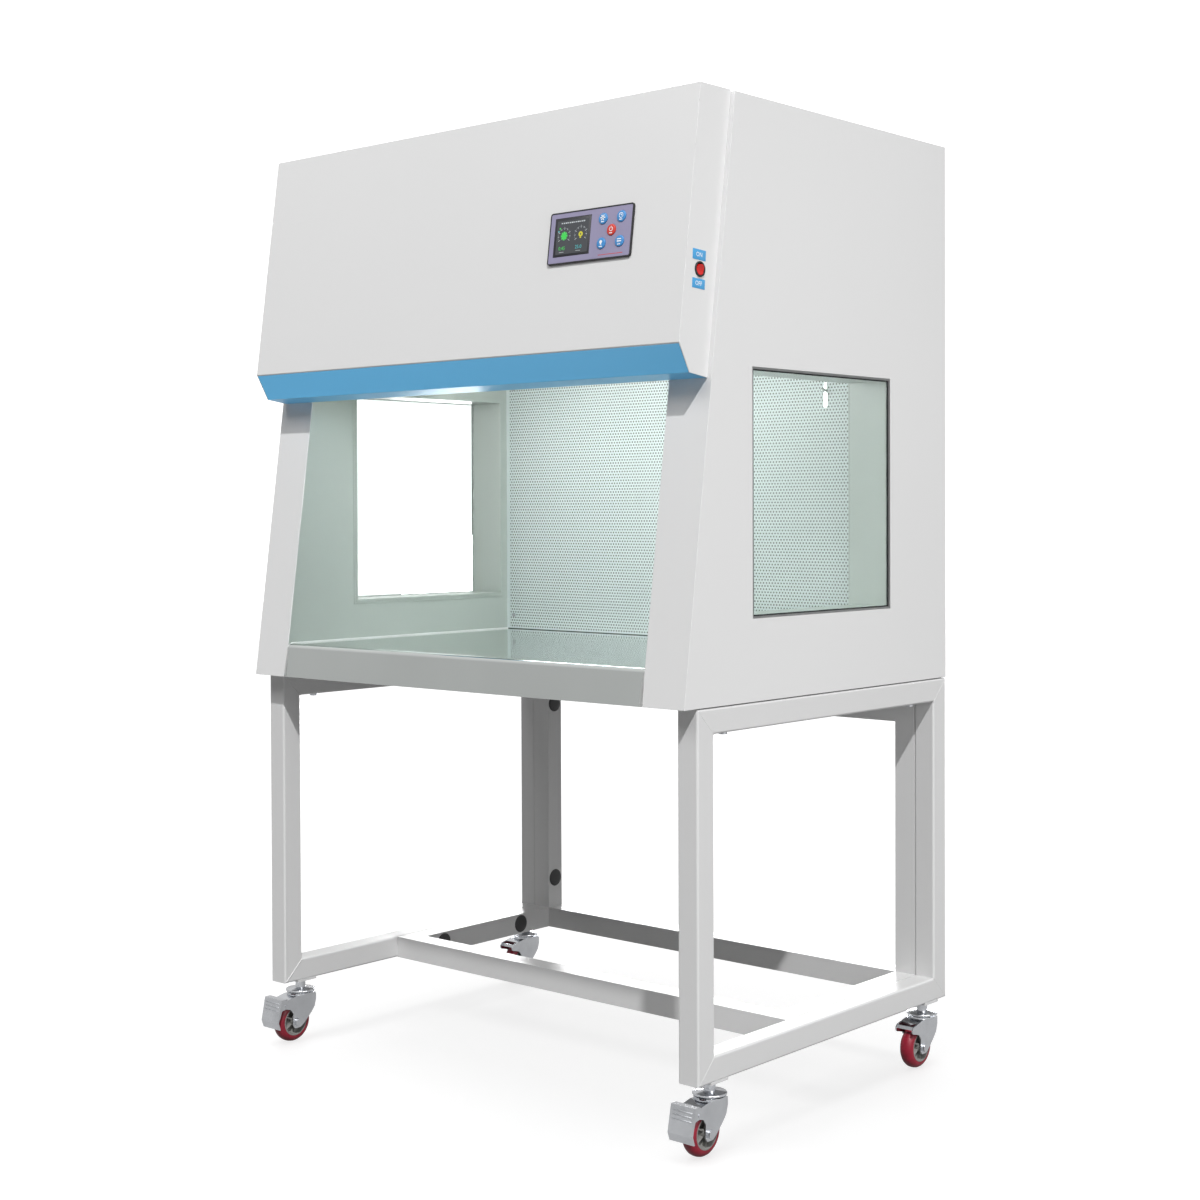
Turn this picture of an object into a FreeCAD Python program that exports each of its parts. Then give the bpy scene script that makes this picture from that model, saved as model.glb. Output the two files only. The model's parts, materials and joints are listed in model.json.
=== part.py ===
"""Horizontal laminar flow cabinet on a wheeled stand.

Millimetres, +Z up, front towards -Y, +X to the right of someone who works at it.
The origin is on the floor, under the middle of the cabinet.
"""
import FreeCAD, Part
import math
import os
import re

import Sketcher

doc = FreeCAD.newDocument("FlowCabinet")
sheet = doc.addObject("Spreadsheet::Sheet", "Sizes")
Vec = FreeCAD.Vector

# Driving dimensions
SIZES = {
    "width": 1010, "stand_depth": 710, "stand_height": 570, "overhang": 32,
    "tube": 40, "tube_wall": 2, "tube_round": 4, "link_front": 278.6, "link_drop": 40,
    "fit": 0.05, "plug_hole": 16, "plug_cap": 17.5, "plug_rise": 2.5, "plug_grip": 4,
    "plug_high": 466.5, "plug_low": 100, "plug_rear": 125, "plug_mid": 87.4,
    "bolt_radius": 4, "bolt_head": 7, "bolt_head_tall": 5, "bolt_grip": 18, "bolt_inset": 60,
    "pad_thick": 1.5, "pad_width": 28, "pad_inset": 6,
    "cab_height": 940, "lean_run": 129, "side_depth": 83, "skin": 1.5,
    "top_rise": 59.5, "apron_round": 9, "apron_lip": 14, "rear_lip": 15,
    "screen_back": 163.5, "head_room": 365.5,
    "win_front": 139, "win_back": 180, "win_base": 129.5, "win_head": 53.5,
    "seal_band": 5.5, "seal_deep": 8, "seal_set": 0.5, "glass_thick": 4, "glass_bite": 3,
    "reveal_margin": 4,
    "filter_deep": 69, "filter_rim": 20, "pleat_depth": 46, "pleat_count": 24,
    "screw_radius": 2, "screw_head": 4, "screw_in": 19, "screw_up": 28, "screw_length": 12,
    "base_lip": 20, "pan_lip": 15,
    "intake_x": 400, "intake_y": 260, "intake_back": 45, "intake_ledge": 10, "media_thick": 15,
    "grille_thick": 2, "grille_lap": 12, "slot_wide": 9, "slot_pitch": 16,
    "fan_radius": 90, "fan_inner": 72, "fan_half": 78, "fan_gap": 10, "fan_growth": 50,
    "fan_forward": 215, "fan_up": 165, "fan_blades": 24, "blade_thick": 1.6, "blade_lead": 9,
    "fan_ring": 3, "shaft_radius": 6, "hub_radius": 18, "hub_long": 20, "disc_thick": 2,
    "casing_half": 85, "inlet_radius": 70, "foot_wide": 30,
    "motor_radius": 40, "motor_long": 68, "arm_wide": 14, "arm_reach": 82, "arm_thick": 3,
    "lamp_back": 120, "lamp_long": 604, "lamp_radius": 13, "lamp_spread": 34, "lamp_wide": 90,
    "lamp_tall": 28, "lamp_drop": 24, "holder_thick": 12,
    "hood_inset": 8, "hood_proud": 74.3, "hood_under": 71.1, "hood_chamfer": 40.3,
    "hood_foot": 43.6, "hood_over": 1.6,
    "panel_in": 110, "panel_wide": 171, "panel_rise": 140.8, "panel_tall": 81.5,
    "panel_thick": 3, "panel_lap": 4,
    "screen_in": 10, "screen_wide": 76, "screen_rise": 10.5, "screen_tall": 62.5, "screen_sink": 0.6,
    "board_back": 8, "board_thick": 1.6, "key_radius": 9, "key_gap": 0.1, "key_rise": 1.6,
    "key_flange": 1.3, "key_flange_thick": 1.2, "key_travel": 0.8, "key_stem": 3,
    "switch_deep": 40.2, "switch_rise_up": 117.8, "switch_bezel": 12, "switch_barrel": 10.6,
    "switch_cavity": 9.6, "switch_rise": 2, "switch_long": 24, "rocker_half": 8.2,
    "rocker_pivot": 2, "rocker_proud": 5, "rocker_back": 3, "rocker_pin": 1.2, "rocker_tilt": 10,
    "inlet_in": 122, "inlet_drop": 80, "inlet_wide": 48, "inlet_tall": 30, "inlet_deep": 26,
    "inlet_cavity": 18, "inlet_wall": 3, "inlet_face": 2,
    "hook_in": 62, "hook_wide": 7, "hook_thick": 2, "hook_drop": 96, "hook_tall": 44,
    "hook_peg": 30, "peg_radius": 2.2, "peg_long": 8, "ball_radius": 4.5,
    "eye_in": 60, "eye_back": 137, "eye_ring": 7, "eye_wire": 1.5, "eye_neck": 7,
    "caster_height": 114, "stem_front": 52, "stem_rear": 48, "plate_thick": 3, "plate_long": 42,
    "stem_radius": 6, "stem_into": 20, "nut_radius": 9, "nut_top": 110.9, "thrust_radius": 27,
    "thrust_low": 90.5, "thrust_edge": 3.5, "thrust_rise": 6.5, "race_radius": 15,
    "crown_top": 88.5, "crown_low": 84.5, "crown_radius": 25, "pin_radius": 5, "pin_head": 9,
    "pin_head_tall": 3, "pin_room": 0.5, "trail": 22, "fork_half": 18, "fork_plate": 2.5, "axle_radius": 4,
    "axle_nut": 7, "axle_nut_long": 4.5, "wheel_radius": 37.5, "wheel_half": 12.5,
    "tread_drop": 4.5, "tyre_bore": 26, "rim_wall": 3, "web_half": 3.5, "boss_radius": 8,
    "boss_gap": 0.3, "pedal_y": 50.4, "pedal_z": 72.4, "pedal_pin": 3, "pedal_gap": 0.4,
    "pedal_sheet": 2, "pedal_half": 24, "rivet_long": 3.2,
}

# Places that follow from the driving dimensions
FORMULAS = {
    "front": "-(stand_depth - overhang) / 2",
    "rear": "front + stand_depth",
    "frame_top": "caster_height + stand_height",
    "cab_bottom": "frame_top + pad_thick",
    "cab_top": "cab_bottom + cab_height",
    "cab_front": "front - overhang",
    "lean": "lean_run / cab_height",
    "slant": "sqrt(1 + lean_run * lean_run / cab_height / cab_height)",
    "left_x": "-width / 2",
    "inner_x": "width / 2 - side_depth",
    "worktop_z": "cab_bottom + top_rise",
    "ceiling_rise": "cab_height - head_room",
    "ceiling_z": "cab_bottom + ceiling_rise",
    "screen_y": "rear - screen_back",
    "filter_y": "screen_y + skin + fit",
    "bulkhead_y": "filter_y + filter_deep + fit",
    "win_y": "front + win_front",
    "win_z": "cab_bottom + win_base",
    "win_length": "stand_depth - win_front - win_back",
    "win_height": "ceiling_rise - win_base - win_head",
    "fan_y": "bulkhead_y - fan_forward",
    "fan_z": "ceiling_z + fan_up",
    "hood_half": "width / 2 - hood_inset",
    "hood_low": "ceiling_rise - hood_under",
    "hood_bend": "hood_low + hood_chamfer",
    "hood_high": "cab_height + hood_over",
    "panel_x": "hood_half - panel_in - panel_wide",
    "panel_low": "hood_bend + panel_rise",
    "screen_x": "panel_x + screen_in",
    "screen_low": "panel_low + screen_rise",
    "switch_up": "hood_bend + switch_rise_up",
    "inlet_x": "inner_x - inlet_in",
    "inlet_low": "cab_height - inlet_drop",
    "hook_x": "inner_x - hook_in",
    "hook_low": "ceiling_rise - hook_drop",
    "face": "-hood_proud",
    "fork_slot": "fork_half - fork_plate",
    "link_half": "width / 2 - tube",
    "link_top": "frame_top - link_drop",
}
NAMES = list(SIZES) + list(FORMULAS)


def link(text, prefix="Sizes."):
    """A formula on the sheet's names, as an object can be bound to it."""
    return re.sub("[a-z][a-z_]*", lambda word: prefix + word.group() if word.group() in NAMES
                  else word.group(), str(text))


row = 0
for alias, number in SIZES.items():
    row += 1
    sheet.set("A%d" % row, str(number))
    sheet.setAlias("A%d" % row, alias)
for alias, formula in FORMULAS.items():
    row += 1
    sheet.set("A%d" % row, "=" + formula)
    sheet.setAlias("A%d" % row, alias)
doc.recompute()


def value(name):
    """What a cell of the sheet holds now."""
    return float(sheet.get(name))


def place(obj, x=0, y=0, z=0):
    """Bind where an object stands."""
    for axis, text in zip("xyz", (x, y, z)):
        obj.setExpression("Placement.Base." + axis, link(text))
    return obj


def box(name, size, corner):
    obj = doc.addObject("Part::Box", name)
    for side, text in zip(("Length", "Width", "Height"), size):
        obj.setExpression(side, link(text))
    return place(obj, *corner)


TURN = {"Z": FreeCAD.Rotation(), "X": FreeCAD.Rotation(Vec(0, 1, 0), 90),
        "Y": FreeCAD.Rotation(Vec(1, 0, 0), -90)}


def cylinder(name, axis, radius, length, start):
    """A cylinder that runs from start towards the positive end of an axis."""
    obj = doc.addObject("Part::Cylinder", name)
    obj.Placement = FreeCAD.Placement(Vec(), TURN[axis])
    obj.setExpression("Radius", link(radius))
    obj.setExpression("Height", link(length))
    return place(obj, *start)


def cut(name, base, tools):
    tool = tools[0]
    if len(tools) > 1:
        tool = doc.addObject("Part::MultiFuse", name + "_tools")
        tool.Shapes = tools
    obj = doc.addObject("Part::Cut", name)
    obj.Base = base
    obj.Tool = tool
    return obj


def fuse(name, pieces):
    obj = doc.addObject("Part::MultiFuse", name)
    obj.Shapes = pieces
    return obj


def group(name, pieces):
    """Separate solids in one node."""
    obj = doc.addObject("Part::Compound", name)
    obj.Links = pieces
    return obj


def mirrored(name, source):
    """The same piece on the other side of the middle."""
    obj = doc.addObject("Part::Mirroring", name)
    obj.Source = source
    obj.Normal = Vec(1, 0, 0)
    return obj


def both(name, source):
    """A piece and its mirror image as one node of separate solids."""
    return group(name, [source, mirrored(name + "_mirror", source)])


def sketch(body, name, role, depth):
    """An empty sketch on one of the body's own planes, moved along its normal."""
    drawing = body.newObject("Sketcher::SketchObject", name)
    plane = [item for item in body.Origin.OriginFeatures if item.Role == role][0]
    drawing.AttachmentSupport = [(plane, "")]
    drawing.MapMode = "FlatFace"
    drawing.setExpression("AttachmentOffset.Base.z", link(depth))
    return drawing


def polygon(drawing, corners):
    """A closed outline with both coordinates of every corner bound to the sheet."""
    first = drawing.GeometryCount
    count = len(corners)
    ring = [Vec(-math.cos(2 * math.pi * (k + 0.5) / count), -math.sin(2 * math.pi * (k + 0.5) / count), 0)
            for k in range(count)]
    for k in range(count):
        drawing.addGeometry(Part.LineSegment(ring[k], ring[(k + 1) % count]), False)
    for k in range(count):
        drawing.addConstraint(Sketcher.Constraint("Coincident", first + k, 2, first + (k + 1) % count, 1))
    for k, corner in enumerate(corners):
        for kind, text in zip(("DistanceX", "DistanceY"), corner):
            rule = drawing.addConstraint(Sketcher.Constraint(kind, first + k, 1, 1.0))
            drawing.setExpression("Constraints[%d]" % rule, link(text))


def pad(body, drawing, length):
    feature = body.newObject("PartDesign::Pad", body.Name + "_pad")
    feature.Profile = drawing
    feature.setExpression("Length", link(length))
    body.Tip = feature
    return feature


PLANES = {"X": "YZ_Plane", "Y": "XZ_Plane", "Z": "XY_Plane"}


def prism(name, axis, outlines, start, length):
    """A profile carried along an axis from start; the profile's two coordinates
    are Y and Z, X and Z, or X and Y."""
    body = doc.addObject("PartDesign::Body", name)
    depth = "-(%s) - (%s)" % (start, length) if axis == "Y" else start
    drawing = sketch(body, name + "_profile", PLANES[axis], depth)
    for outline in outlines:
        polygon(drawing, outline)
    pad(body, drawing, length)
    return body


def corners_of(low_x, low_y, high_x, high_y, inset="0"):
    """Four corners of a rectangle, moved inwards by inset."""
    inner = "(%s) + (%s)"
    outer = "(%s) - (%s)"
    return [(inner % (low_x, inset), inner % (low_y, inset)), (outer % (high_x, inset), inner % (low_y, inset)),
            (outer % (high_x, inset), outer % (high_y, inset)), (inner % (low_x, inset), outer % (high_y, inset))]


def turned(name, points, role="XY_Plane", axis="H_Axis"):
    """A profile of (along, radius) points turned about the sketch's own axis."""
    body = doc.addObject("PartDesign::Body", name)
    drawing = sketch(body, name + "_profile", role, "0")
    polygon(drawing, points)
    feature = body.newObject("PartDesign::Revolution", name + "_turn")
    feature.Profile = drawing
    feature.ReferenceAxis = (drawing, [axis])
    feature.Angle = 360
    body.Tip = feature
    return body


def round_edges(body, radius, wanted):
    """Round the edges of a body that the test picks."""
    doc.recompute()
    base = body.Tip
    picked = ["Edge%d" % (k + 1) for k, edge in enumerate(base.Shape.Edges) if wanted(edge)]
    feature = body.newObject("PartDesign::Fillet", body.Name + "_round")
    feature.Base = (base, picked)
    feature.setExpression("Radius", link(radius))
    body.Tip = feature
    return body


def along(edge, axis):
    """True for a straight edge that runs along the axis."""
    ends = [vertex.Point for vertex in edge.Vertexes]
    if len(ends) != 2 or edge.Curve.TypeId != "Part::GeomLine":
        return False
    span = ends[1] - ends[0]
    others = [abs(getattr(span, letter)) for letter in "xyz" if letter != axis]
    return max(others) < 1e-6


def leaned(obj, x=0):
    """Stand a piece that is drawn against the front plane on that plane: its Z runs up
    the slope from the cabinet's bottom edge and its -Y points out of the slope."""
    obj.Placement = FreeCAD.Placement(Vec(), FreeCAD.Rotation(Vec(-1, 0, 0), 1))
    obj.setExpression("Placement.Rotation.Angle", link("atan(lean)"))
    return place(obj, x, "cab_front", "cab_bottom")


# Stand


def tube_ring(name, axis, low, high, start):
    """A closed frame of square tube, mitred at its corners, and the hollow inside it."""
    outer = corners_of(low[0], low[1], high[0], high[1])
    inner = corners_of(low[0], low[1], high[0], high[1], "tube")
    body = prism(name, axis, [outer, inner], start, "tube")
    hollow_out = corners_of(low[0], low[1], high[0], high[1], "tube_wall")
    hollow_in = corners_of(low[0], low[1], high[0], high[1], "tube - tube_wall")
    hollow = prism(name + "_hollow", axis, [hollow_out, hollow_in], "(%s) + tube_wall" % start,
                   "tube - 2 * tube_wall")
    return body, hollow


STEMS = {"front_left": ("left_x + tube / 2", "front + stem_front"),
         "front_right": ("width / 2 - tube / 2", "front + stem_front"),
         "rear_left": ("left_x + tube / 2", "rear - stem_rear"),
         "rear_right": ("width / 2 - tube / 2", "rear - stem_rear")}
PLUGS = [("rear - tube / 2", "caster_height + plug_high"), ("rear - tube / 2", "caster_height + plug_low"),
         ("rear - plug_rear", "caster_height + tube / 2"), ("front + link_front + plug_mid",
                                                            "caster_height + tube / 2")]
CAB_BOLTS = ["front + bolt_inset + pad_width", "rear - bolt_inset - pad_width"]


def side_frame():
    ring, hollow = tube_ring("left_tubes", "X", ("front", "caster_height"), ("rear", "frame_top"), "left_x")
    round_edges(ring, "tube_round", lambda edge: along(edge, "y") or along(edge, "z"))
    plates = []
    holes = [hollow]
    for k, (x, y) in enumerate([STEMS["front_left"], STEMS["rear_left"]]):
        plates.append(box("left_plate_%d" % k, ("tube", "plate_long", "plate_thick + tube_round / 4"),
                          ("left_x", y + " - plate_long / 2", "caster_height - plate_thick")))
        holes.append(cylinder("left_stem_hole_%d" % k, "Z", "stem_radius + fit", "plate_thick + tube_wall + 2",
                              (x, y, "caster_height - plate_thick - 1")))
    for k, (y, z) in enumerate(PLUGS):
        holes.append(cylinder("left_link_hole_%d" % k, "X", "bolt_radius + fit", "2 * tube_wall",
                              ("left_x + tube - 1.5 * tube_wall", y, z)))
    for k, y in enumerate(CAB_BOLTS):
        holes.append(cylinder("left_cab_hole_%d" % k, "Z", "bolt_radius + fit", "tube + 2",
                              ("left_x + tube / 2", y, "frame_top - tube - 1")))
    left = cut("left_side_frame", fuse("left_welded", [ring] + plates), holes)
    mirrored("right_side_frame", left)


def connecting_frame():
    floor_ring, floor_hollow = tube_ring("link_floor", "Z", ("-link_half", "front + link_front"),
                                         ("link_half", "rear"), "caster_height")
    rear_ring, rear_hollow = tube_ring("link_rear", "Y", ("-link_half", "caster_height"),
                                       ("link_half", "link_top"), "rear - tube")
    holes = [floor_hollow, rear_hollow]
    for side in (-1, 1):
        for k, (y, z) in enumerate(PLUGS):
            tag = "%d_%s" % (k, "l" if side < 0 else "r")
            inner = "-link_half + tube" if side < 0 else "link_half - tube"
            outer = "-link_half" if side < 0 else "link_half"
            holes.append(cylinder("plug_hole_" + tag, "X", "plug_hole", "2 * tube_wall",
                                  ("%s - tube_wall" % inner, y, z)))
            holes.append(cylinder("link_hole_" + tag, "X", "bolt_radius + fit", "2 * tube_wall + 2",
                                  ("%s - tube_wall - 1" % outer, y, z)))
    cut("connecting_frame", fuse("link_welded", [floor_ring, rear_ring]), holes)


def plugs_and_bolts():
    caps = []
    bolts = []
    for k, (y, z) in enumerate(PLUGS):
        cap = turned("plug_%d" % k, [("-plug_grip", "0"), ("-plug_grip", "plug_hole - fit"),
                                     ("0", "plug_hole - fit"), ("0", "plug_cap"),
                                     ("plug_rise * 0.4", "plug_cap"), ("plug_rise * 0.85", "plug_cap * 0.8"),
                                     ("plug_rise", "plug_cap * 0.4"), ("plug_rise", "0")])
        caps.append(place(cap, "-link_half + tube", y, z))
        head = cylinder("link_head_%d" % k, "X", "bolt_head", "bolt_head_tall",
                        ("-link_half + tube_wall", y, z))
        shank = cylinder("link_shank_%d" % k, "X", "bolt_radius", "bolt_grip",
                         ("-link_half + tube_wall - bolt_grip", y, z))
        bolts.append(fuse("link_bolt_%d" % k, [head, shank]))
    for k, y in enumerate(CAB_BOLTS):
        head = cylinder("cab_head_%d" % k, "Z", "bolt_head", "bolt_head_tall",
                        ("left_x + tube / 2", y, "frame_top - tube - bolt_head_tall"))
        shank = cylinder("cab_shank_%d" % k, "Z", "bolt_radius", "tube + pad_thick + skin + bolt_radius * 2",
                         ("left_x + tube / 2", y, "frame_top - tube"))
        bolts.append(fuse("cab_bolt_%d" % k, [head, shank]))
    both("hole_plugs", group("left_plugs", caps))
    both("frame_bolts", group("left_bolts", bolts))


def pads():
    strip = box("pad_strip", ("pad_width", "stand_depth - 2 * pad_inset", "pad_thick"),
                ("left_x + (tube - pad_width) / 2", "front + pad_inset", "frame_top"))
    holes = [cylinder("pad_hole_%d" % k, "Z", "bolt_radius + fit", "pad_thick + 2",
                      ("left_x + tube / 2", y, "frame_top - 1")) for k, y in enumerate(CAB_BOLTS)]
    both("cabinet_pads", cut("left_pad", strip, holes))


# Casters


def stem(tag, x, y):
    points = [("0", "crown_low - fit - pin_head_tall"), ("pin_head", "crown_low - fit - pin_head_tall"),
              ("pin_head", "crown_low - fit"), ("pin_radius", "crown_low - fit"),
              ("pin_radius", "crown_top + fit"), ("race_radius", "crown_top + fit"),
              ("race_radius", "thrust_low"), ("thrust_radius", "thrust_low"),
              ("thrust_radius", "thrust_low + thrust_edge"), ("nut_radius", "thrust_low + thrust_rise"),
              ("nut_radius", "nut_top"), ("stem_radius", "nut_top"),
              ("stem_radius", "caster_height + stem_into"), ("0", "caster_height + stem_into")]
    return place(turned("stem_" + tag, points, "XZ_Plane", "V_Axis"), x, y)


# Fork side outline, as how far it lies behind the stem and how high above the floor; the few bare
# numbers are the curve of its back edge and its margins round the axle and the pedal's rivets
FORK_OUTLINE = [("crown_radius - fork_plate", "crown_low + fork_plate / 2"), ("crown_radius - fork_plate", "72"),
                ("18.7", "59"), ("11.6", "50"), ("-trail + 17", "wheel_radius - 4"),
                ("-trail + 7", "wheel_radius - 11"), ("-trail - 6", "wheel_radius - 11"),
                ("-trail - 11", "wheel_radius - 4"), ("-trail - 10", "wheel_radius + 17"),
                ("-trail - 16", "wheel_radius + 25"), ("-pedal_y + 2", "pedal_z - 7"),
                ("-pedal_y - 7", "pedal_z - 5"), ("-pedal_y - 9", "pedal_z + 1"),
                ("-pedal_y - 5", "pedal_z + 7"), ("-crown_radius", "crown_low + fork_plate / 2")]


def fork(tag, x, y, braked):
    plates = prism(tag + "_fork_plates", "X", [FORK_OUTLINE], "-fork_half", "2 * fork_half")
    round_edges(plates, "fork_plate", lambda edge: along(edge, "x"))
    crown = cylinder(tag + "_crown", "Z", "crown_radius", "crown_top - crown_low", ("0", "0", "crown_low"))
    slot = box(tag + "_fork_slot", ("2 * fork_slot", "4 * wheel_radius", "crown_low - fork_plate"),
               ("-fork_slot", "-3 * wheel_radius", "0"))
    bore = cylinder(tag + "_crown_bore", "Z", "pin_radius + fit", "crown_top", ("0", "0", "fork_plate"))
    recess = cylinder(tag + "_head_room", "Z", "pin_head + pin_room", "crown_low", ("0", "0", "0"))
    shell = cut(tag + "_fork_shell", fuse(tag + "_fork_raw", [plates, crown]), [slot, bore, recess])
    pieces = [shell,
              cylinder(tag + "_axle", "X", "axle_radius", "2 * fork_half",
                       ("-fork_half", "-trail", "wheel_radius"))]
    for side in (-1, 1):
        start = "-fork_half - axle_nut_long" if side < 0 else "fork_half"
        pieces.append(cylinder("%s_axle_end_%d" % (tag, side + 1), "X", "axle_nut", "axle_nut_long",
                               (start, "-trail", "wheel_radius")))
        if braked:
            start = "-fork_half - rivet_long" if side < 0 else "fork_slot"
            pieces.append(cylinder("%s_rivet_%d" % (tag, side + 1), "X", "pedal_pin", "rivet_long + fork_plate",
                                   (start, "-pedal_y", "pedal_z")))
    if not braked:
        pieces.append(box(tag + "_fork_web", ("2 * fork_slot", "fork_plate", "crown_low - pedal_z - 6"),
                          ("-fork_slot", "-pedal_y - 3", "pedal_z")))
    return place(fuse(tag + "_caster_fork", pieces), x, y)


def wheel(tag, x, y):
    tyre = [("-wheel_half", "tyre_bore"), ("wheel_half", "tyre_bore"),
            ("wheel_half", "wheel_radius - 2 * tread_drop"), ("wheel_half * 0.85", "wheel_radius - tread_drop"),
            ("wheel_half * 0.45", "wheel_radius - tread_drop / 4"), ("0", "wheel_radius"),
            ("-wheel_half * 0.45", "wheel_radius - tread_drop / 4"),
            ("-wheel_half * 0.85", "wheel_radius - tread_drop"),
            ("-wheel_half", "wheel_radius - 2 * tread_drop")]
    rim = "tyre_bore - fit"
    inner = "tyre_bore - rim_wall"
    boss = "fork_slot - boss_gap"
    hub = [("-(%s)" % boss, "axle_radius + fit"), (boss, "axle_radius + fit"), (boss, "boss_radius"),
           ("web_half", "boss_radius + 2"), ("web_half", inner + " - 2"), ("wheel_half", inner),
           ("wheel_half", rim), ("-wheel_half", rim), ("-wheel_half", inner),
           ("-web_half", inner + " - 2"), ("-web_half", "boss_radius + 2"), ("-(%s)" % boss, "boss_radius")]
    place(turned(tag + "_caster_tyre", tyre), x, y + " - trail", "wheel_radius")
    place(turned(tag + "_caster_hub", hub), x, y + " - trail", "wheel_radius")


# Pedal sheet, bent from its top edge over the front to the toe, drawn as distances behind the stem,
# each corner measured from the rivet that it turns on
PEDAL_SHEET = [("-pedal_y - 2", "pedal_z + 13.8"), ("-pedal_y - 14", "pedal_z + 13.8"),
               ("-pedal_y - 22.6", "pedal_z - 28"), ("-pedal_y - 18", "pedal_z - 41"),
               ("-pedal_y - 16", "pedal_z - 40.2"), ("-pedal_y - 20.4", "pedal_z - 27.7"),
               ("-pedal_y - 12.4", "pedal_z + 11.8"), ("-pedal_y - 2", "pedal_z + 11.8")]
PEDAL_EAR = [("-pedal_y + 6", "pedal_z + 4"), ("-pedal_y + 1", "pedal_z + 9"),
             ("-pedal_y - 2", "pedal_z + 13.8"), ("-pedal_y - 14", "pedal_z + 13.8"),
             ("-pedal_y - 22.6", "pedal_z - 28"), ("-pedal_y - 15", "pedal_z - 22"),
             ("-pedal_y - 10", "pedal_z - 8"), ("-pedal_y + 3", "pedal_z - 5")]


def pedal(tag, x, y):
    sheet_part = prism(tag + "_pedal_sheet", "X", [PEDAL_SHEET], "-pedal_half", "2 * pedal_half")
    tools = []
    pieces = [sheet_part]
    for side in (-1, 1):
        start = "-fork_half - pedal_gap - pedal_sheet" if side < 0 else "fork_half + pedal_gap"
        pieces.append(prism("%s_pedal_ear_%d" % (tag, side + 1), "X", [PEDAL_EAR], start, "pedal_sheet"))
        tools.append(cylinder("%s_ear_hole_%d" % (tag, side + 1), "X", "pedal_pin + fit", "pedal_sheet + 2",
                              (start + " - 1", "-pedal_y", "pedal_z")))
    return place(cut(tag + "_brake_pedal", fuse(tag + "_pedal_raw", pieces), tools), x, y)


def casters():
    stems = []
    for tag, (x, y) in STEMS.items():
        braked = tag.startswith("front")
        stems.append(stem(tag, x, y))
        fork(tag, x, y, braked)
        wheel(tag, x, y)
        if braked:
            pedal(tag, x, y)
    group("caster_stems", stems)


# Cabinet body


def slope(height, inset="0"):
    """Y of the front plane at a height above the cabinet's bottom, moved inwards by inset."""
    return "cab_front + lean * (%s) + slant * (%s)" % (height, inset)


def side_outline(inset):
    """The cabinet's side view, moved inwards by inset."""
    top = "cab_height - (%s)" % inset
    return [(slope(inset, inset), "cab_bottom + (%s)" % inset), ("rear - (%s)" % inset, "cab_bottom + (%s)" % inset),
            ("rear - (%s)" % inset, "cab_top - (%s)" % inset), (slope(top, inset), "cab_top - (%s)" % inset)]


def window_outline(inset):
    return corners_of("win_y", "win_z", "win_y + win_length", "win_z + win_height", inset)


def side_walls():
    pan = prism("left_pan", "X", [side_outline("0")], "left_x", "side_depth")
    hollow = prism("left_pan_hollow", "X", [side_outline("skin")], "left_x + skin", "side_depth")
    window = prism("left_pan_window", "X", [window_outline("0")], "left_x - 1", "skin + 2")
    holes = [cylinder("left_pan_hole_%d" % k, "Z", "bolt_radius + fit", "skin + 2",
                      ("left_x + tube / 2", y, "cab_bottom - 1")) for k, y in enumerate(CAB_BOLTS)]
    panel = cut("left_side_panel", pan, [hollow, window] + holes)
    mirrored("right_side_panel", panel)

    plate = prism("left_lining", "X", [side_outline("skin + fit"), window_outline("reveal_margin")],
                  "left_x + side_depth - skin", "skin")
    reveal = prism("left_reveal", "X", [window_outline("reveal_margin - skin"), window_outline("reveal_margin")],
                   "left_x + seal_set + seal_deep + fit", "side_depth - seal_set - seal_deep - fit - skin / 2")
    liner = fuse("left_liner", [plate, reveal])
    mirrored("right_liner", liner)

    band = prism("left_band", "X", [window_outline("fit"), window_outline("seal_band")],
                 "left_x + seal_set", "seal_deep")
    groove = prism("left_groove", "X", [window_outline("seal_band - glass_bite")],
                   "left_x + seal_set + (seal_deep - glass_thick) / 2 - fit", "glass_thick + 2 * fit")
    gasket = cut("left_window_gasket", band, [groove])
    mirrored("right_window_gasket", gasket)
    glass = prism("left_window_glass", "X", [window_outline("seal_band - glass_bite + fit")],
                  "left_x + seal_set + (seal_deep - glass_thick) / 2", "glass_thick")
    mirrored("right_window_glass", glass)


def near_corner(edge, y, z, inset):
    """True for an edge that lies at a corner of a sheet, or at its inner side."""
    point = edge.Vertexes[0].Point
    near = value("fit")
    return abs(point.z - z + inset) < near and abs(point.y - y) < 2 * inset + near


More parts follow.
